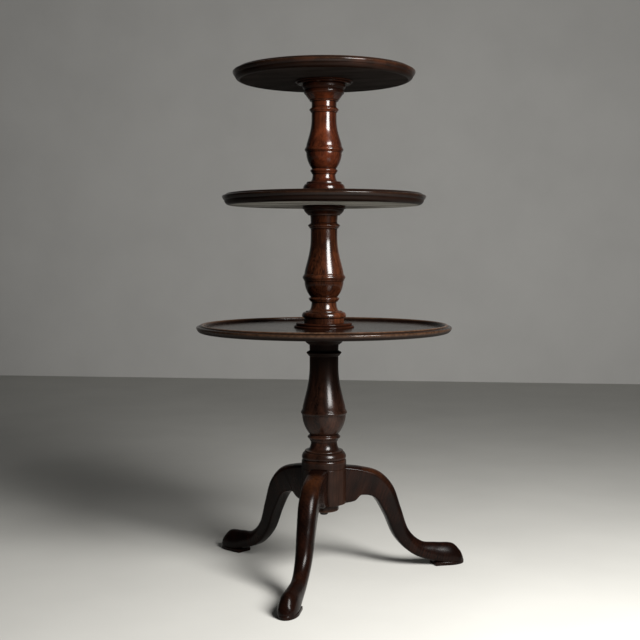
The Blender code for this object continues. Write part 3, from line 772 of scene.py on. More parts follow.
@dataclass(frozen=True)
class Member:
    """One cut of a stem, with its height and radii in millimetres."""

    shape: Shape
    rise: float
    start: float
    end: float
    crown: float = 0.0
    crest: float = 0.5

    def outline(self, base: float, stretch: float) -> list[Point]:
        """Draw the member.

        Args:
            base: The height of its start, in metres.
            stretch: What its rise is multiplied by, in metres to the millimetre.

        Returns:
            Pairs of radius and height in metres.
        """
        steps = {Shape.LINE: 1, Shape.BEAD: 14, Shape.COVE: 12, Shape.BELLY: 22, Shape.TAPER: 34,
                 Shape.OVOLO: 10}
        crowding = {Shape.COVE: 2.0, Shape.BELLY: 1.6}.get(self.shape, 1.0)
        rise, middle = self.rise * stretch, (self.start + self.end) / 2
        if self.shape is Shape.RING:
            return [(MILLIMETRE * (mix(self.start, self.end, up) + (self.crown - middle) * out),
                     base + rise * up) for up, out in self.astragal()]
        points = []
        for step in range(steps[self.shape] + 1):
            share = step / steps[self.shape]
            if self.shape is Shape.BEAD:
                turn = math.pi * share
                up = (1 - math.cos(turn)) / 2
                radius = mix(self.start, self.end, up) + (self.crown - middle) * math.sin(turn)
            else:
                up = share ** crowding
                radius = mix(self.start, self.end, self.run(up))
            points.append((MILLIMETRE * radius, base + rise * up))
        return points

    def astragal(self) -> list[Point]:
        """Draw a bead that comes to an arris at its crest, with a quirk and a thin fillet on either side.

        Returns:
            Shares of the height and of the projection.
        """
        below = ((0.0, 0.0), (0.08, 0.10), (0.16, 0.32), (0.26, 0.43), (0.36, 0.46), (0.44, 0.48),
                 (0.50, 0.56), (0.60, 0.73), (0.72, 0.88), (0.86, 0.97), (1.0, 1.0))
        above = ((0.16, 0.97), (0.34, 0.84), (0.48, 0.66), (0.56, 0.52), (0.64, 0.44), (0.76, 0.40),
                 (0.86, 0.26), (0.94, 0.08), (1.0, 0.0))
        return ([(up * self.crest, out) for up, out in below]
                + [(mix(self.crest, 1.0, up), out) for up, out in above])

    def run(self, up: float) -> float:
        """How far the radius has come from start to end.

        Args:
            up: The share of the height.

        Returns:
            The share of the way.
        """
        if self.shape is Shape.COVE:
            return math.sqrt(1 - (1 - up) ** 2)
        if self.shape is Shape.BELLY:
            return math.sin(math.pi / 2 * up) ** 0.76
        if self.shape is Shape.TAPER:
            return math.sin(math.pi / 2 * min(1.0, up / 0.82) ** 0.70) ** 2
        if self.shape is Shape.OVOLO:
            return math.sin(math.pi / 2 * up)
        return up


@dataclass
class Stem:
    """A turned stem: its plain foot, its members, its cap and the spigot on top of it."""

    name: str
    base: float
    top: float
    cap: float
    members: tuple[Member, ...]
    spigot: float
    spigot_tip: float
    foot: float = 0.0
    foot_height: float = 0.0
    socket: float = 0.0
    socket_depth: float = 0.0
    cap_height: float = 0.0085
    cap_edge: float = 0.0020
    tip_bevel: float = 0.0015
    # Painted shade, as (start, darkest, most) distances from the top and from the base: the cap darkens under
    # the tray above, and the foot where it stands in the tray below.
    cap_painted_shade: tuple[float, float, float] = (0.034, 0.012, 0.85)
    foot_painted_shade: tuple[float, float, float] = (0.030, 0.012, 0.35)
    sides: int = 128
    wood: Mahogany = MIDDLE_STEM_WOOD

    def outline(self) -> Outline:
        """Draw the stem.

        Returns:
            Its outline, from the socket's blind end to the spigot's tip.
        """
        blind, start = self.base + self.socket_depth, self.base + self.foot_height
        outline = Outline().to(0.0, blind).to(self.socket, blind).to(self.socket, self.base)
        return self.turned_part(outline.to(self.foot, self.base).to(self.foot, start), start)

    def turned_part(self, outline: Outline, start: float) -> Outline:
        """Add the members, the cap and the spigot.

        Args:
            outline: The outline so far.
            start: The height of the first member.

        Returns:
            The whole outline with its corners eased.
        """
        length = self.top - start - self.cap_height
        total = sum(member.rise for member in self.members)
        height = start
        for member in self.members:
            outline.through(member.outline(height, length / total))
            height += member.rise * length / total
        inner, low = self.cap - self.cap_edge, self.top - self.cap_height
        outline.arc((inner, low), (self.cap, low + self.cap_edge), 4, upright=False)
        outline.arc((self.cap, self.top - self.cap_edge), (inner, self.top), 3, upright=True)
        outline.to(self.spigot, self.top).to(self.spigot, self.spigot_tip - self.tip_bevel)
        outline.to(self.spigot - self.tip_bevel, self.spigot_tip).to(0.0, self.spigot_tip)
        return outline.eased(EASING)

    def build(self, lathe: Lathe) -> bpy.types.Object:
        """Turn the stem.

        Args:
            lathe: The lathe.

        Returns:
            The stem about the origin.
        """
        stem = lathe.turn(self.name, self.outline(), self.sides, self.wood.material(Grain.UPRIGHT))
        # Paint the shade under the tray on the cap, then at the foot.
        clean, darkest, most = self.cap_painted_shade
        gather_dirt_and_shade(stem.data, self.top - clean, self.top - darkest, most)
        clean, darkest, most = self.foot_painted_shade
        gather_dirt_and_shade(stem.data, self.base + clean, self.base + darkest, most)
        return stem


LINE, BEAD, RING, COVE, BELLY, TAPER, OVOLO = Shape
PILLAR_MEMBERS = (
    Member(LINE, 0.8, 50.2, 50.2), Member(BEAD, 17.0, 50.6, 46.2, 52.9), Member(LINE, 0.8, 45.3, 45.3),
    Member(BEAD, 3.2, 45.4, 44.6, 46.3), Member(COVE, 22.2, 41.2, 31.3), Member(LINE, 0.4, 33.2, 34.0),
    Member(LINE, 3.4, 34.0, 34.2), Member(RING, 12.6, 34.2, 33.6, 39.7, 0.47),
    Member(BELLY, 47.0, 33.6, 52.5), Member(RING, 12.6, 52.5, 52.4, 55.8, 0.45),
    Member(LINE, 1.6, 52.5, 52.3), Member(TAPER, 127.0, 51.8, 34.6),
    Member(RING, 13.6, 35.0, 34.6, 42.1, 0.64), Member(LINE, 14.8, 34.5, 35.2),
    Member(LINE, 2.2, 38.6, 38.8), Member(OVOLO, 18.2, 41.0, 52.0),
)
MIDDLE_MEMBERS = (
    Member(BEAD, 13.0, 49.6, 46.6, 52.7), Member(LINE, 2.6, 43.8, 43.2), Member(COVE, 21.6, 37.4, 29.8),
    Member(LINE, 0.4, 31.4, 32.0), Member(RING, 11.4, 32.0, 31.6, 37.0, 0.66),
    Member(BELLY, 37.6, 31.6, 46.7), Member(RING, 16.8, 46.9, 47.0, 51.3, 0.55),
    Member(LINE, 1.6, 47.2, 47.1), Member(TAPER, 106.0, 46.8, 31.8),
    Member(RING, 13.4, 32.2, 31.8, 38.4, 0.62), Member(LINE, 18.8, 31.6, 32.8),
    Member(LINE, 2.6, 38.4, 39.0), Member(OVOLO, 12.0, 40.4, 48.0),
)
TOP_MEMBERS = (
    Member(BEAD, 14.0, 48.6, 44.8, 49.4), Member(LINE, 5.4, 42.5, 41.2), Member(COVE, 17.6, 34.6, 27.2),
    Member(LINE, 0.4, 27.3, 27.4), Member(RING, 13.4, 27.6, 28.2, 32.5, 0.66),
    Member(BELLY, 38.4, 28.2, 42.4), Member(RING, 13.0, 42.5, 42.6, 46.3, 0.43),
    Member(LINE, 1.6, 42.6, 42.5), Member(TAPER, 78.4, 42.2, 29.6),
    Member(RING, 12.4, 29.8, 29.4, 34.9, 0.58), Member(LINE, 14.4, 29.3, 29.8),
    Member(LINE, 3.4, 34.0, 34.4), Member(LINE, 13.4, 35.6, 45.4), Member(BEAD, 9.4, 45.6, 46.4, 47.9),
    Member(LINE, 0.8, 45.8, 45.8), Member(OVOLO, 4.0, 46.6, 49.0),
)


@dataclass
class Leg:
    """A cabriole leg carved from a plank, with its dovetail tongue, its round foot and the pad under it."""

    reach: float = 0.36598
    width: float = 0.0450
    top: float = 0.2640
    flat: float = 0.0480
    pad_length: float = 0.0820
    pad_width: float = 0.0480
    pad_heel_width: float = 0.0420
    pad_thickness: float = 0.0090
    toe_share: float = 0.50
    underside_share: float = 0.88
    facet: float = 0.0052
    boxy_reach: float = 0.090
    boxy_share: float = 0.55
    pad_corner: float = 0.0015
    pad_edge: float = 0.0016
    pad_steps: int = 48
    tail_depth: float = 0.0120
    tail_half: float = 0.0100
    tail_flare: float = 0.25
    tongue_bottom: float = 0.1760
    tongue_top: float = 0.2500
    slot_bottom: float = 0.1650
    edge_reach: float = 0.0045
    # How much lighter the knee's upward faces are: wear, and painted light from above.
    knee_wear_and_light: float = 0.45
    knee: tuple[float, float, float, float] = (0.080, 0.115, 0.125, 0.185)
    stations_per_row: int = 14
    crown_steps: int = 30
    rows: tuple[tuple[float, ...], ...] = (
        (0.000, 1.000, 0.000, 0.649, 1.000, 0.11),
        (0.194, 0.977, 0.109, 0.665, 1.000, 0.14),
        (0.393, 0.919, 0.185, 0.715, 1.000, 0.22),
        (0.542, 0.776, 0.334, 0.676, 0.978, 0.32),
        (0.631, 0.561, 0.457, 0.499, 0.933, 0.44),
        (0.720, 0.345, 0.567, 0.283, 0.856, 0.55),
        (0.864, 0.224, 0.733, 0.125, 0.778, 0.65),
        (1.034, 0.198, 0.932, 0.044, 0.867, 0.75),
    )
    foot_rows: tuple[tuple[float, ...], ...] = (
        (0.610, 0.179, 0.378, 0.002, 0.960, 0.85),
        (0.854, 0.112, 0.756, 0.002, 0.840, 0.90),
        (0.945, 0.062, 0.902, 0.002, 0.560, 0.90),
        (0.978, 0.034, 0.962, 0.002, 0.260, 0.90),
    )

    def stations(self) -> Iterator[list[float]]:
        """Smooth rows of (upper reach, upper height, lower reach, lower height, width, crown share).

        Yields:
            One row after the other, from the block to the toe.
        """
        heel, seat, root = self.reach - self.pad_length, self.pad_thickness / 2, self.flat + CLEARANCE
        rows = [(mix(root, heel, row[0]), mix(seat, self.top, row[1]), mix(root, heel, row[2]),
                 mix(seat, self.top, row[3]), row[4] * self.width, row[5]) for row in self.rows]
        rows += [(mix(heel, self.reach, row[0]), mix(seat, self.top, row[1]), mix(heel, self.reach, row[2]),
                  mix(seat, self.top, row[3]), row[4] * self.pad_width, row[5]) for row in self.foot_rows]
        padded = [rows[0], *rows, rows[-1]]
        for first in range(len(rows) - 1):
            four = padded[first:first + 4]
            for step in range(self.stations_per_row):
                share = step / self.stations_per_row
                yield [self.smooth(*values, share) for values in zip(*four)]
        yield list(rows[-1])

    @staticmethod
    def smooth(before: float, start: float, end: float, after: float, share: float) -> float:
        """A value on the smooth curve through four, between the middle two.

        Args:
            before: The first value.
            start: The second.
            end: The third.
            after: The fourth.
            share: How far it is from the second to the third.

        Returns:
            The value.
        """
        slope_in, slope_out = (end - before) / 2, (after - start) / 2
        square, cube = share ** 2, share ** 3
        rising = 3 * square - 2 * cube
        return (start * (1 - rising) + end * rising + slope_in * (cube - 2 * square + share)
                + slope_out * (cube - square))

    def section(self, station: Sequence[float]) -> list[Vector]:
        """Draw the leg's section at a station.

        Args:
            station: A row of the leg.

        Returns:
            Points round it: the underside with its eased arrises, the sides and the crowned upper face.
        """
        upper, upper_up, lower, lower_up, width, crown_share = station
        low, high = Vector((lower, 0, lower_up)), Vector((upper, 0, upper_up))
        depth, outward = (high - low).length, (high - low).normalized()
        crown = crown_share * depth
        under, half = self.underside_share * width / 2, width / 2
        shoulder = depth - crown
        side = Vector((half - under, shoulder))
        facet = min(self.facet, width / 6, depth / 5, 0.9 * side.length)
        side.normalize()
        flat: list[Point] = []
        start, corner = Vector((under - 0.6 * facet, 0.0)), Vector((under, 0.0))
        end = corner + side * 0.8 * facet
        for sign in (-1, 1):
            chamfer = (start - Vector((0.08 * facet, 0.0)),
                       *(start.lerp(end, share) for share in (0.06, 0.5, 0.94)), end + side * 0.08 * facet)
            points = [(sign * point.x, point.y) for point in chamfer]
            flat += points if sign > 0 else list(reversed(points))
        boxy = 1.0 - self.boxy_share * max(0.0, 1.0 - (upper - self.flat) / self.boxy_reach)
        for step in range(self.crown_steps + 1):
            turn = math.pi * step / self.crown_steps
            flat.append((half * math.cos(turn), shoulder + crown * max(0.0, math.sin(turn)) ** boxy))
        return [low + Vector((0, across, 0)) + outward * rise for across, rise in flat]

    def pad_plan(self, inset: float) -> list[Point]:
        """Draw the pad from above.

        Args:
            inset: How far the outline is drawn in.

        Returns:
            Pairs of reach and width, from one heel corner round the toe to the other.
        """
        heel, toe = self.reach - self.pad_length + inset, self.toe_share * self.pad_length
        half, corner = self.pad_heel_width / 2 - inset, self.pad_corner
        points = [(heel, half - corner), (heel + corner, half)]
        for step in range(self.pad_steps + 1):
            turn = math.pi * step / self.pad_steps
            points.append((self.reach - toe + (toe - inset) * math.sin(turn),
                           (self.pad_width / 2 - inset) * math.cos(turn)))
        return points + [(heel + corner, -half), (heel, corner - half)]

    def tongue(self, name: str, clearance: float) -> bpy.types.Object:
        """Make the dovetail tongue, or with a clearance the slot that takes it.

        Args:
            name: The helper's name.
            clearance: The slot's clearance, or 0 for the tongue.

        Returns:
            The helper, pointing along +X.
        """
        tail = self.flat - self.tail_depth + CLEARANCE - clearance
        mouth = self.flat + (self.width if clearance else self.tail_depth) / 2
        tail_half = self.tail_half + clearance
        mouth_half = tail_half - self.tail_flare * (self.flat - tail)
        plan = [(tail, tail_half), (tail, -tail_half), (self.flat, -mouth_half), (mouth, -mouth_half),
                (mouth, mouth_half), (self.flat, mouth_half)]
        bottom = self.slot_bottom if clearance else self.tongue_bottom
        return prism(name, plan, bottom, self.tongue_top + clearance)

    def build(self, name: str, place: float) -> bpy.types.Object:
        """Carve the leg.

        Args:
            name: The leg's name.
            place: Where it stands round the pillar, in radians.

        Returns:
            The leg about the origin.
        """
        leg = link(name, skin(name, [self.section(row) for row in self.stations()]))
        turns = [math.pi / 2 * share for share in (0.0, 0.35, 0.7, 1.0)]
        low = [(self.pad_edge * (1 - math.sin(turn)), self.pad_edge * (1 - math.cos(turn))) for turn in turns]
        high = [(inset, self.pad_thickness - rise) for inset, rise in reversed(low)]
        sections = [[Vector((x, y, rise)) for x, y in self.pad_plan(inset)] for inset, rise in low + high]
        pad = link(name + "_pad", skin(name + "_pad", sections))
        leg = combine(leg, [self.tongue(name + "_tongue", 0.0), pad], "UNION")
        leg.data.materials.clear()
        leg.data.materials.append(LEG_WOOD.material(Grain.LEG, place))
        clean_mesh(leg.data, sharp_degrees=38.0)
        mark_edges(leg.data, self.edge_reach)
        # The knee's band is lighter the more it faces up: wear on the knee, and painted light from above.
        facing = np.array([max(0.0, vertex.normal.z) for vertex in leg.data.vertices])
        reach = np.array([vertex.co.x for vertex in leg.data.vertices])
        knee = smooth_step(reach, *self.knee[:2]) - smooth_step(reach, *self.knee[2:])
        write_attribute(leg.data, "worn", self.knee_wear_and_light * facing * knee)
        leg.data.transform(Matrix.Rotation(place, 4, "Z"))
        return leg


def skin(name: str, sections: Sequence[Sequence[Vector]]) -> bpy.types.Mesh:
    """Skin closed sections in order, with a face over each end.

    Args:
        name: The mesh's name.
        sections: The sections, each with as many points.

    Returns:
        The closed mesh.
    """
    bm = bmesh.new()
    rings = [[bm.verts.new(point) for point in section] for section in sections]
    for ring, following in zip(rings, rings[1:]):
        for first in range(len(ring)):
            second = (first + 1) % len(ring)
            bm.faces.new((ring[first], ring[second], following[second], following[first]))
    bm.faces.new(list(reversed(rings[0])))
    bm.faces.new(rings[-1])
    bmesh.ops.recalc_face_normals(bm, faces=bm.faces)
    mesh = bpy.data.meshes.new(name)
    bm.to_mesh(mesh)
    bm.free()
    return mesh


def prism(name: str, plan: Sequence[Point], bottom: float, top: float) -> bpy.types.Object:
    """Make an upright prism, as a helper or a piece of one."""
    levels = [[Vector((x, y, height)) for x, y in plan] for height in (bottom, top)]
    return link(name, skin(name, levels))


def oblong(start: float, end: float, half: float) -> list[Point]:
    """The corners of an oblong that lies along X."""
    return [(start, -half), (end, -half), (end, half), (start, half)]


@dataclass
class Tray:
    """A round dished tray: its moulded rim, its floor and the recess for its collar."""

    name: str
    radius: float
    base: float
    thickness: float
    hole: float = 0.0
    recess: float = 0.0
    socket: float = 0.0
    socket_depth: float = 0.0095
    dish_depth: float = 0.0080
    recess_depth: float = 0.0015
    under_inset: float = 0.0190
    bead_inset: float = 0.0052
    bead_drop: float = 0.0156
    # Painted shade on the lower rim: how far below the top it starts, how dark it grows and from which share
    # of the thickness it is darkest.
    rim_painted_shade: float = 0.0090
    rim_painted_shade_most: float = 0.90
    rim_painted_shade_thickest: float = 0.25
    bare_height: float = 1e-4
    rim_worn: float = 0.3
    sides: int = 256
    wood: Mahogany = TRAY_WOOD

    def outline(self) -> Outline:
        """Draw the tray.

        Returns:
            Its outline, from the hole or the blind socket under it over the rim and back to the middle.
        """
        top, floor = self.base + self.thickness, self.base + self.thickness - self.dish_depth
        outline = Outline()
        if not self.hole:
            outline.to(0.0, self.base + self.socket_depth).to(self.socket, self.base + self.socket_depth)
        outline.to(self.hole or self.socket, self.base)
        outline.arc((self.radius - self.under_inset, self.base),
                    (self.radius - self.bead_inset, top - self.bead_drop), 8, upright=False)
        for inset, down, worn in (
            (4.2, 15.2, 0.0), (3.2, 14.3, 0.0), (2.2, 13.0, 0.1), (1.4, 11.6, 0.2), (0.8, 10.4, 0.3),
            (0.3, 9.1, 0.4), (0.0, 7.7, 0.4), (0.1, 6.9, 0.4), (0.6, 6.0, 0.3), (1.5, 5.2, 0.2),
            (2.7, 4.5, 0.1), (4.2, 4.0, 0.0), (5.8, 3.7, 0.0), (7.2, 3.45, 0.0), (7.9, 3.3, 0.0),
            (8.3, 2.9, 0.1), (8.7, 2.1, 0.3), (9.3, 1.3, 0.6), (10.2, 0.6, 0.9), (11.4, 0.15, 1.0),
            (12.8, 0.0, 0.9), (14.2, 0.0, 0.8), (15.6, 0.35, 0.9), (16.7, 1.1, 0.8), (17.4, 2.2, 0.4),
            (17.9, 3.6, 0.1), (18.4, 5.2, 0.0), (19.0, 6.6, 0.0), (19.8, 7.6, 0.0), (20.8, 8.0, 0.0),
        ):
            outline.to(self.radius - MILLIMETRE * inset, top - MILLIMETRE * down, worn * self.rim_worn)
        if self.recess:
            outline.to(self.recess, floor).to(self.recess, floor - self.recess_depth)
            outline.to(self.hole, floor - self.recess_depth)
        else:
            outline.to(0.0, floor)
        return outline.eased(EASING, math.radians(40))

    def build(self, lathe: Lathe) -> bpy.types.Object:
        """Turn the tray.

        Args:
            lathe: The lathe.

        Returns:
            The tray about the origin.
        """
        wood = self.wood.material(Grain.BOARD)
        tray = lathe.turn(self.name, self.outline(), self.sides, wood, closed=bool(self.hole))
        self.paint_shade_and_mark_bare(tray.data)
        return tray

    def paint_shade_and_mark_bare(self, mesh: bpy.types.Mesh) -> None:
        """Paint shade on the tray's lower rim, darker towards the underside, and mark the underside, which
        was never polished.

        Args:
            mesh: The tray's mesh.
        """
        # Painted shade: darker from the rim's middle down to the underside.
        clean = self.base + self.thickness - self.rim_painted_shade
        gather_dirt_and_shade(mesh, clean, self.base + self.rim_painted_shade_thickest * self.thickness, self.rim_painted_shade_most)
        under = [1.0 if vertex.co.z < self.base + self.bare_height else 0.0 for vertex in mesh.vertices]
        write_attribute(mesh, "raw", np.array(under))


@dataclass
class LippedRing:
    """A collar or the bearer: a wide lip, a quirk and a narrower lip about a hole."""

    name: str
    radius: float
    hole: float
    wide_face: float
    narrow_face: float
    sides: int = 128
    wood: Mahogany = MIDDLE_STEM_WOOD

    def outline(self) -> Outline:
        """Draw the ring.

        Returns:
            Its outline, from its lower face up.
        """
        shares = [(0.962, 0.0), (0.978, 0.03), (0.990, 0.09), (0.998, 0.17), (1.0, 0.24), (0.997, 0.31),
                  (0.988, 0.38), (0.972, 0.44), (0.952, 0.475), (0.930, 0.49), (0.914, 0.50), (0.914, 0.56),
                  (0.922, 0.60), (0.931, 0.67), (0.933, 0.75), (0.930, 0.84), (0.921, 0.93), (0.905, 0.985),
                  (0.890, 1.0)]
        lips = [(self.radius * out, mix(self.wide_face, self.narrow_face, up)) for out, up in shares]
        if self.wide_face > self.narrow_face:
            lips.reverse()
        low, high = sorted((self.wide_face, self.narrow_face))
        return Outline().to(self.hole, low).through(lips).to(self.hole, high)

    def build(self, lathe: Lathe) -> bpy.types.Object:
        """Turn the ring."""
        wood = self.wood.material(Grain.UPRIGHT)
        return lathe.turn(self.name, self.outline(), self.sides, wood, closed=True)


@dataclass
class Stand:
    """The pillar with its block and boss, the two upper stems, the three legs and the bolt."""

    block_radius: float = 0.0539
    boss_radius: float = 0.0356
    boss_edge: tuple[tuple[float, float, float], ...] = (
        (0.0030, 0.0, 0.7), (0.0010, 0.0008, 0.9), (0.0, 0.0026, 0.9), (0.0, 0.0040, 0.4), (0.0, 0.0056, 0.0))
    lift: float = 0.1560
    boss_height: float = 0.0100
    cove_height: float = 0.0090
    block_height: float = 0.1080
    line_drop: float = 0.0223
    line_half: float = 0.0010
    line_depth: float = 0.0011
    notch_drop: float = 0.0014
    shoulder_width: float = 0.0033
    shoulder_height: float = 0.0055
    bore: float = 0.0053
    bore_depth: float = 0.0630
    # Painted shade on the pillar's neck under the bottom tray, and real dirt on the block below the notch, as
    # (start, darkest, most).
    neck_painted_shade: tuple[float, float, float] = (0.150, 0.045, 0.95)
    block_dirt: tuple[float, float, float] = (0.004, 0.010, 0.52)
    bolt_radius: float = 0.0095
    bolt_height: float = 0.0105
    shank_radius: float = 0.0050
    shank_length: float = 0.0550
    shank_point: float = 0.0050
    bolt_sides: int = 48
    leg: Leg = field(default_factory=Leg)
    leg_degrees: dict[str, float] = field(default_factory=lambda: {
        "front_leg": -90.0, "right_leg": 30.0, "left_leg": 150.0})

    def pillar(self, lathe: Lathe) -> bpy.types.Object:
        """Turn the pillar and plane its flats.

        Args:
            lathe: The lathe.

        Returns:
            The pillar about the origin.
        """
        block_bottom = self.lift + self.boss_height + self.cove_height
        block_top = block_bottom + self.block_height
        line, notch = block_top - self.line_drop, block_top - self.notch_drop
        stem = Stem("turned_pillar", base=notch, top=PILLAR_TOP, cap=0.0560, members=PILLAR_MEMBERS,
                    spigot=PILLAR_SPIGOT, spigot_tip=0.6419, wood=PILLAR_WOOD)
        outline = Outline().to(0.0, self.lift + self.bore_depth).to(self.bore, self.lift + self.bore_depth)
        outline.to(self.bore, self.lift)
        for inset, rise, worn in self.boss_edge:
            outline.to(self.boss_radius - inset, self.lift + rise, worn)
        cove = self.lift + self.boss_height
        outline.arc((self.boss_radius, cove), (self.block_radius, block_bottom), 12, upright=True)
        outline.to(self.block_radius, line - self.line_half).to(self.block_radius - self.line_depth, line)
        outline.to(self.block_radius, line + self.line_half)
        outline.arc((self.block_radius, notch - self.shoulder_height),
                    (self.block_radius - self.shoulder_width, notch), 6, upright=True)
        outline = stem.turned_part(outline, notch)
        pillar = lathe.turn(stem.name, outline, stem.sides, stem.wood.material(Grain.UPRIGHT))
        cutters = []
        for leg, degrees in self.leg_degrees.items():
            for helper in (self.flat_cutter(leg), self.leg.tongue(leg + "_slot", CLEARANCE)):
                helper.data.transform(Matrix.Rotation(math.radians(degrees), 4, "Z"))
                cutters.append(helper)
        pillar = combine(pillar, cutters, "DIFFERENCE")
        clean_mesh(pillar.data, sharp_degrees=50.0)
        # The neck darkens upwards as painted shade under the bottom tray; the block darkens below the notch
        # with real dirt.
        for top, (clean, darkest, most) in ((stem.top, self.neck_painted_shade), (notch, self.block_dirt)):
            gather_dirt_and_shade(pillar.data, top - clean, top - darkest, most)
        return pillar

    def flat_cutter(self, leg: str) -> bpy.types.Object:
        """Make the box that planes a leg's flat on the block."""
        plan = oblong(self.leg.flat, 2 * self.block_radius, self.block_radius)
        return prism(leg + "_flat", plan, self.lift + self.boss_height, self.leg.top + CLEARANCE)

    def bolt(self, lathe: Lathe) -> bpy.types.Object:
        """Turn the iron bolt under the boss.

        Args:
            lathe: The lathe.

        Returns:
            The bolt about the origin.
        """
        seat, easing, radius = self.lift - CLEARANCE, self.bolt_height / 4, self.bolt_radius
        foot, tip = seat - self.bolt_height, self.lift + self.shank_length
        outline = Outline().to(0.0, foot)
        outline.arc((radius - easing, foot), (radius, foot + easing), 6, upright=False)
        outline.to(radius, seat).to(self.shank_radius, seat).to(self.shank_radius, tip)
        outline.to(0.0, tip + self.shank_point)
        return lathe.turn("iron_bolt", outline, self.bolt_sides, BOLT_IRON.material())

    def build(self, lathe: Lathe) -> Made:
        """Make every piece of the stand.

        Args:
            lathe: The lathe.

        Returns:
            Each piece with its material slot and the nodes it stands for.
        """
        made = [(self.pillar(lathe), "turned_wood", ("pillar",)),
                (self.bolt(lathe), "dark_iron", ("end_bolt",))]
        middle = Stem("turned_middle_stem", base=MIDDLE_STEM_BASE, top=MIDDLE_STEM_TOP, cap=0.0513,
                      members=MIDDLE_MEMBERS, spigot=MIDDLE_SPIGOT, spigot_tip=0.9464, foot=MIDDLE_FOOT,
                      foot_height=0.0250, socket=PILLAR_SPIGOT + CLEARANCE, socket_depth=0.0465)
        upper = Stem("turned_top_stem", base=TOP_STEM_BASE, top=TOP_STEM_TOP, cap=0.0510, members=TOP_MEMBERS,
                     spigot=TOP_SPIGOT, spigot_tip=1.1920, foot=TOP_FOOT, foot_height=0.0175,
                     socket=MIDDLE_SPIGOT + CLEARANCE, socket_depth=0.0405, wood=TOP_STEM_WOOD)
        made += [(middle.build(lathe), "turned_wood", ("middle_stem",)),
                 (upper.build(lathe), "turned_wood", ("top_stem",))]
        for node, degrees in self.leg_degrees.items():
            made.append((self.leg.build("carved_" + node, math.radians(degrees)), "leg_wood", (node,)))
        return made


@dataclass
class Tier:
    """A tray with the ring that turns with it."""

    body: str
    tray: Tray
    tray_node: str
    ring: LippedRing
    ring_node: str

    def build(self, lathe: Lathe) -> Made:
        """Make the tray and its ring."""
        return [(self.tray.build(lathe), "tray_wood", (self.tray_node,)),
                (self.ring.build(lathe), "turned_wood", (self.ring_node,))]


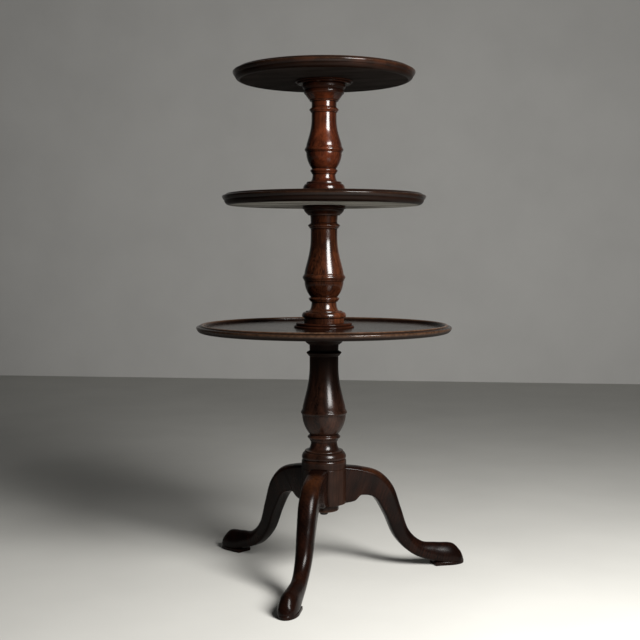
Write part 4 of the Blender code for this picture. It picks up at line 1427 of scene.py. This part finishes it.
@dataclass
class TopTier(Tier):
    """The top tray with its bearer, which four countersunk screws hold."""

    screw_circle: float = 0.0580
    head_radius: float = 0.0042
    shank_radius: float = 0.0021
    head_height: float = 0.0030
    grip: float = 0.0090
    slot_width: float = 0.0011
    slot_depth: float = 0.0011
    count: int = 4
    screw_sides: int = 32
    screw_easing: float = 0.0003
    seed: int = 7

    def screw_outline(self, clearance: float) -> Outline:
        """Draw a screw, or with a clearance its hole.

        Args:
            clearance: The hole's clearance, or 0 for the screw.

        Returns:
            The outline.
        """
        low = self.ring.narrow_face
        base = low - clearance if clearance else low + CLEARANCE
        tip = self.tray.base + self.grip + clearance
        head, shank = self.head_radius + clearance, self.shank_radius + clearance
        outline = Outline().to(0.0, base).to(head, base).to(head, low + 2 * CLEARANCE)
        outline.to(shank, low + CLEARANCE + self.head_height).to(shank, tip - self.shank_radius)
        return outline.to(0.0, tip)

    def screws(self, lathe: Lathe) -> bpy.types.Object:
        """Set the screws out round the bearer with a Geometry Nodes tree.

        Args:
            lathe: The lathe.

        Returns:
            All four, as one plain mesh about the origin.
        """
        steel = SCREW_STEEL.material()
        screw = lathe.turn("screw", self.screw_outline(0.0).eased(self.screw_easing), self.screw_sides, steel)
        low, half = self.ring.narrow_face, self.head_radius * 1.5
        plan = oblong(-half, half, self.slot_width / 2)
        slot = prism("screw_slot", plan, low - self.slot_depth, low + self.slot_depth)
        screw = combine(screw, [slot], "DIFFERENCE")
        clean_mesh(screw.data, sharp_degrees=40.0)
        holder = link("driven_screws", bpy.data.meshes.new("driven_screws"))
        tree, inputs = self.ring_tree()
        modifier = holder.modifiers.new("screw ring", "NODES")
        modifier.node_group = tree
        values = {"Screw": screw, "Count": self.count, "Circle radius": self.screw_circle, "Seed": self.seed,
                  "Half turn": (0.0, 0.0, math.pi), "Finish": steel}
        for key, value in values.items():
            modifier[inputs[key]] = value
        holder.data = evaluated_mesh(holder, "driven_screws")
        holder.modifiers.clear()
        bpy.data.objects.remove(screw)
        return holder

    def ring_tree(self) -> tuple[bpy.types.NodeTree, dict[str, str]]:
        """Build the tree that sets one screw out on a circle, each driven home to a turn of its own.

        Returns:
            The tree, and its inputs' identifiers by name.
        """
        kinds = {"Screw": "Object", "Count": "Int", "Circle radius": "Float", "Seed": "Int",
                 "Half turn": "Vector", "Finish": "Material"}
        nodes = {"info": "GeometryNodeObjectInfo", "circle": "GeometryNodeMeshCircle",
                 "turns": "FunctionNodeRandomValue", "place": "GeometryNodeInstanceOnPoints"}
        links = (("given", "Screw", "info", "Object"), ("given", "Count", "circle", "Vertices"),
                 ("given", "Circle radius", "circle", "Radius"), ("given", "Seed", "turns", "Seed"),
                 ("given", "Half turn", "turns", "Max"), ("circle", "Mesh", "place", "Points"),
                 ("info", "Geometry", "place", "Instance"), ("turns", "Value", "place", "Rotation"))
        settings = {"turns": {"data_type": "FLOAT_VECTOR"}}
        return geometry_tree("screw_ring", kinds, nodes, settings, links, ("place", "Instances"))

    def build(self, lathe: Lathe) -> Made:
        """Make the tray and the bearer, bore both and add the screws.

        Args:
            lathe: The lathe.

        Returns:
            Each piece with its material slot and the nodes it stands for.
        """
        made = super().build(lathe)
        tray, bearer = made[0][0], made[1][0]
        for piece, sharp in ((tray, 60.0), (bearer, 50.0)):
            combine(piece, self.holes(lathe, piece.data.materials[0]), "DIFFERENCE")
            clean_mesh(piece.data, sharp_degrees=sharp)
        # Paint the rim's shade and mark the bare underside again on the bored tray.
        self.tray.paint_shade_and_mark_bare(tray.data)
        nodes = tuple(f"bearer_screw_{number + 1}" for number in range(self.count))
        return made + [(self.screws(lathe), "screw_steel", nodes)]

    def holes(self, lathe: Lathe, finish: bpy.types.Material) -> list[bpy.types.Object]:
        """Make the helpers that bore the screws' holes.

        Args:
            lathe: The lathe.
            finish: The material of what is bored.

        Returns:
            The helpers in their places.
        """
        holes = []
        for number in range(self.count):
            turn = 2 * math.pi * number / self.count
            place = Vector((math.cos(turn), math.sin(turn), 0.0)) * self.screw_circle
            hole = lathe.turn(f"hole_{number}", self.screw_outline(CLEARANCE), self.screw_sides, finish)
            hole.data.transform(Matrix.Translation(place))
            holes.append(hole)
        return holes


@dataclass
class Studio:
    """The camera, the lamp and what the table stands before."""

    camera_turn: float = 13.5
    camera_distance: float = 2.6965
    camera_height: float = 0.7810
    camera_pitch: float = 3.488
    focal_pixels: float = 1126.6
    picture_pixels: int = 640
    axis_pixel: float = 324.0
    floor_colour: Colour = (0.570, 0.566, 0.534)
    wall_colour: Colour = (0.670, 0.665, 0.644)
    wall_distance: float = 4.10
    wall_turn: float = 6.8
    wall_height: float = 6.0
    floor_reach: float = 12.0
    key_turn: float = 36.5
    key_elevation: float = 25.0
    key_distance: float = 2.06
    key_size: tuple[float, float] = (0.80, 1.12)
    key_power: float = 120.0
    key_colour: Colour = (1.0, 0.985, 0.965)
    key_aim: float = 0.65
    glow_colour: tuple[float, float, float, float] = (0.92, 0.95, 1.0, 1.0)
    glow_strength: float = 0.028

    def camera(self) -> None:
        """Set up the camera at the photograph's viewing angle, with plain colours."""
        turn = math.radians(self.camera_turn)
        data = bpy.data.cameras.new("camera")
        data.sensor_width = 36.0
        data.lens = self.focal_pixels * data.sensor_width / self.picture_pixels
        camera = bpy.data.objects.new("camera", data)
        bpy.context.scene.collection.objects.link(camera)
        back = Vector((math.sin(turn), -math.cos(turn), 0.0)) * self.camera_distance
        camera.location = AXIS + back + Vector((0.0, 0.0, self.camera_height))
        aside = math.atan((self.axis_pixel - self.picture_pixels / 2) / self.focal_pixels)
        camera.rotation_euler = (math.radians(90 - self.camera_pitch), 0.0, turn + aside)
        bpy.context.scene.camera = camera
        bpy.context.scene.view_settings.view_transform = "Standard"

    def light(self) -> None:
        """Hang the softbox to the right of the camera and set the world's glow."""
        data = bpy.data.lights.new("key_softbox", "AREA")
        data.shape, data.energy, data.color = "RECTANGLE", self.key_power, self.key_colour
        data.size, data.size_y = self.key_size
        lamp = bpy.data.objects.new("key_softbox", data)
        bpy.context.scene.collection.objects.link(lamp)
        angle, lift = math.radians(self.camera_turn + self.key_turn), math.radians(self.key_elevation)
        back = Vector((math.sin(angle) * math.cos(lift), -math.cos(angle) * math.cos(lift), math.sin(lift)))
        lamp.location = AXIS + Vector((0.0, 0.0, self.key_aim)) + back * self.key_distance
        lamp.rotation_euler = back.to_track_quat("Z", "Y").to_euler()
        world = bpy.context.scene.world or bpy.data.worlds.new("world")
        bpy.context.scene.world = world
        world.use_nodes = True
        glow = world.node_tree.nodes["Background"]
        glow.inputs["Color"].default_value = self.glow_colour
        glow.inputs["Strength"].default_value = self.glow_strength

    def sheet(self, name: str, corners: Sequence[Vector], colour: Colour, roughness: float) -> None:
        """Lay a flat sheet of the studio.

        Args:
            name: The sheet's name.
            corners: Its corners in order.
            colour: Its colour.
            roughness: Its roughness.
        """
        mesh = bpy.data.meshes.new(name)
        mesh.from_pydata(corners, [], [tuple(range(len(corners)))])
        shader = Shader(name + "_paint")
        place = shader.value("ShaderNodeTexCoord", output="Object")
        cloud = shader.ramp(shader.noise(place, 3.0, 4.0), (0.30, 0.94), (0.70, 1.0))
        paint = shader.blend(1.0, colour, cloud, "MULTIPLY")
        mesh.materials.append(shader.finish(Base_Color=paint, Roughness=roughness, IOR=1.12))
        link(name, mesh)

    def build(self) -> None:
        """Set up the whole studio."""
        self.camera()
        self.light()
        turn = Matrix.Rotation(math.radians(self.camera_turn - self.wall_turn), 4, "Z")
        wide, far, high = self.floor_reach, self.wall_distance, self.wall_height
        ground = ((-wide, -wide, 0), (wide, -wide, 0), (wide, far, 0), (-wide, far, 0))
        wall = ((-wide, far, 0), (wide, far, 0), (wide, far, high), (-wide, far, high))
        for name, corners, colour, roughness in (("floor", ground, self.floor_colour, 0.55),
                                                 ("backdrop", wall, self.wall_colour, 0.80)):
            self.sheet(name, [turn @ Vector(corner) + AXIS for corner in corners], colour, roughness)


def clear_defaults() -> None:
    """Remove what the scene holds besides the frame."""
    kept = {*frame["bodies"].values(), *frame["nodes"].values()}
    for obj in [obj for obj in bpy.data.objects if obj not in kept]:
        bpy.data.objects.remove(obj)


def collar(name: str, tray: Tray, foot: float, stem_base: float, wood: Mahogany) -> LippedRing:
    """Describe the collar that lies in a tray's recess round the foot of a stem.

    Args:
        name: Its name.
        tray: The tray.
        foot: The radius of the stem's foot.
        stem_base: The height of the stem's underside.
        wood: Its wood.

    Returns:
        The collar.
    """
    base = stem_base - CLEARANCE
    return LippedRing(name, radius=tray.recess - CLEARANCE, hole=foot + RUNNING_CLEARANCE, wide_face=base,
                      narrow_face=base + COLLAR_HEIGHT, wood=wood)


def tiers() -> list[Tier]:
    """Describe the three trays and their rings.

    Returns:
        The tiers from the bottom up.
    """
    bearer_base = TOP_STEM_TOP + CLEARANCE
    bearer_top = bearer_base + BEARER_HEIGHT
    bottom = Tray("dished_bottom_tray", radius=0.3050, base=PILLAR_TOP + CLEARANCE, thickness=0.0195,
                  hole=PILLAR_SPIGOT + RUNNING_CLEARANCE, recess=0.0723, rim_worn=0.75)
    middle = Tray("dished_middle_tray", radius=0.2425, base=MIDDLE_STEM_TOP + CLEARANCE, thickness=0.0278,
                  hole=MIDDLE_SPIGOT + RUNNING_CLEARANCE, recess=0.0623, rim_worn=0.03, wood=MIDDLE_TRAY_WOOD)
    top = Tray("dished_top_tray", radius=0.2160, base=bearer_top + CLEARANCE, thickness=0.0261,
               socket=TOP_SPIGOT + RUNNING_CLEARANCE, rim_worn=0.10, wood=TOP_TRAY_WOOD)
    bearer = LippedRing("turned_bearer", radius=0.0685, hole=TOP_SPIGOT + RUNNING_CLEARANCE,
                        wide_face=bearer_top, narrow_face=bearer_base, wood=PAINTED_SHADE_RING_WOOD)
    # The middle collar takes the darkened ring wood as painted shade.
    lower = collar("turned_middle_collar", bottom, MIDDLE_FOOT, MIDDLE_STEM_BASE, PAINTED_SHADE_RING_WOOD)
    upper = collar("turned_top_collar", middle, TOP_FOOT, TOP_STEM_BASE, MIDDLE_STEM_WOOD)
    return [
        Tier("bottom_tier", bottom, "bottom_tray", lower, "middle_collar"),
        Tier("middle_tier", middle, "middle_tray", upper, "top_collar"),
        TopTier("top_tier", top, "top_tray", bearer, "top_bearer"),
    ]


def main() -> None:
    """Build the table's looks and the studio."""
    logging.basicConfig(level=logging.INFO, format="%(message)s")
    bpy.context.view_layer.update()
    clear_defaults()
    lathe = Lathe()
    made = [("stand", piece) for piece in Stand().build(lathe)]
    for tier in tiers():
        made += [(tier.body, piece) for piece in tier.build(lathe)]
    for body, (piece, slot, nodes) in made:
        piece.data.transform(Matrix.Translation(AXIS))
        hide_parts(*nodes)
        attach(piece, body)
        log.info("%s: %d faces, on %s", piece.name, len(piece.data.polygons), body)
    Studio().build()


if __name__ == "__main__":
    main()
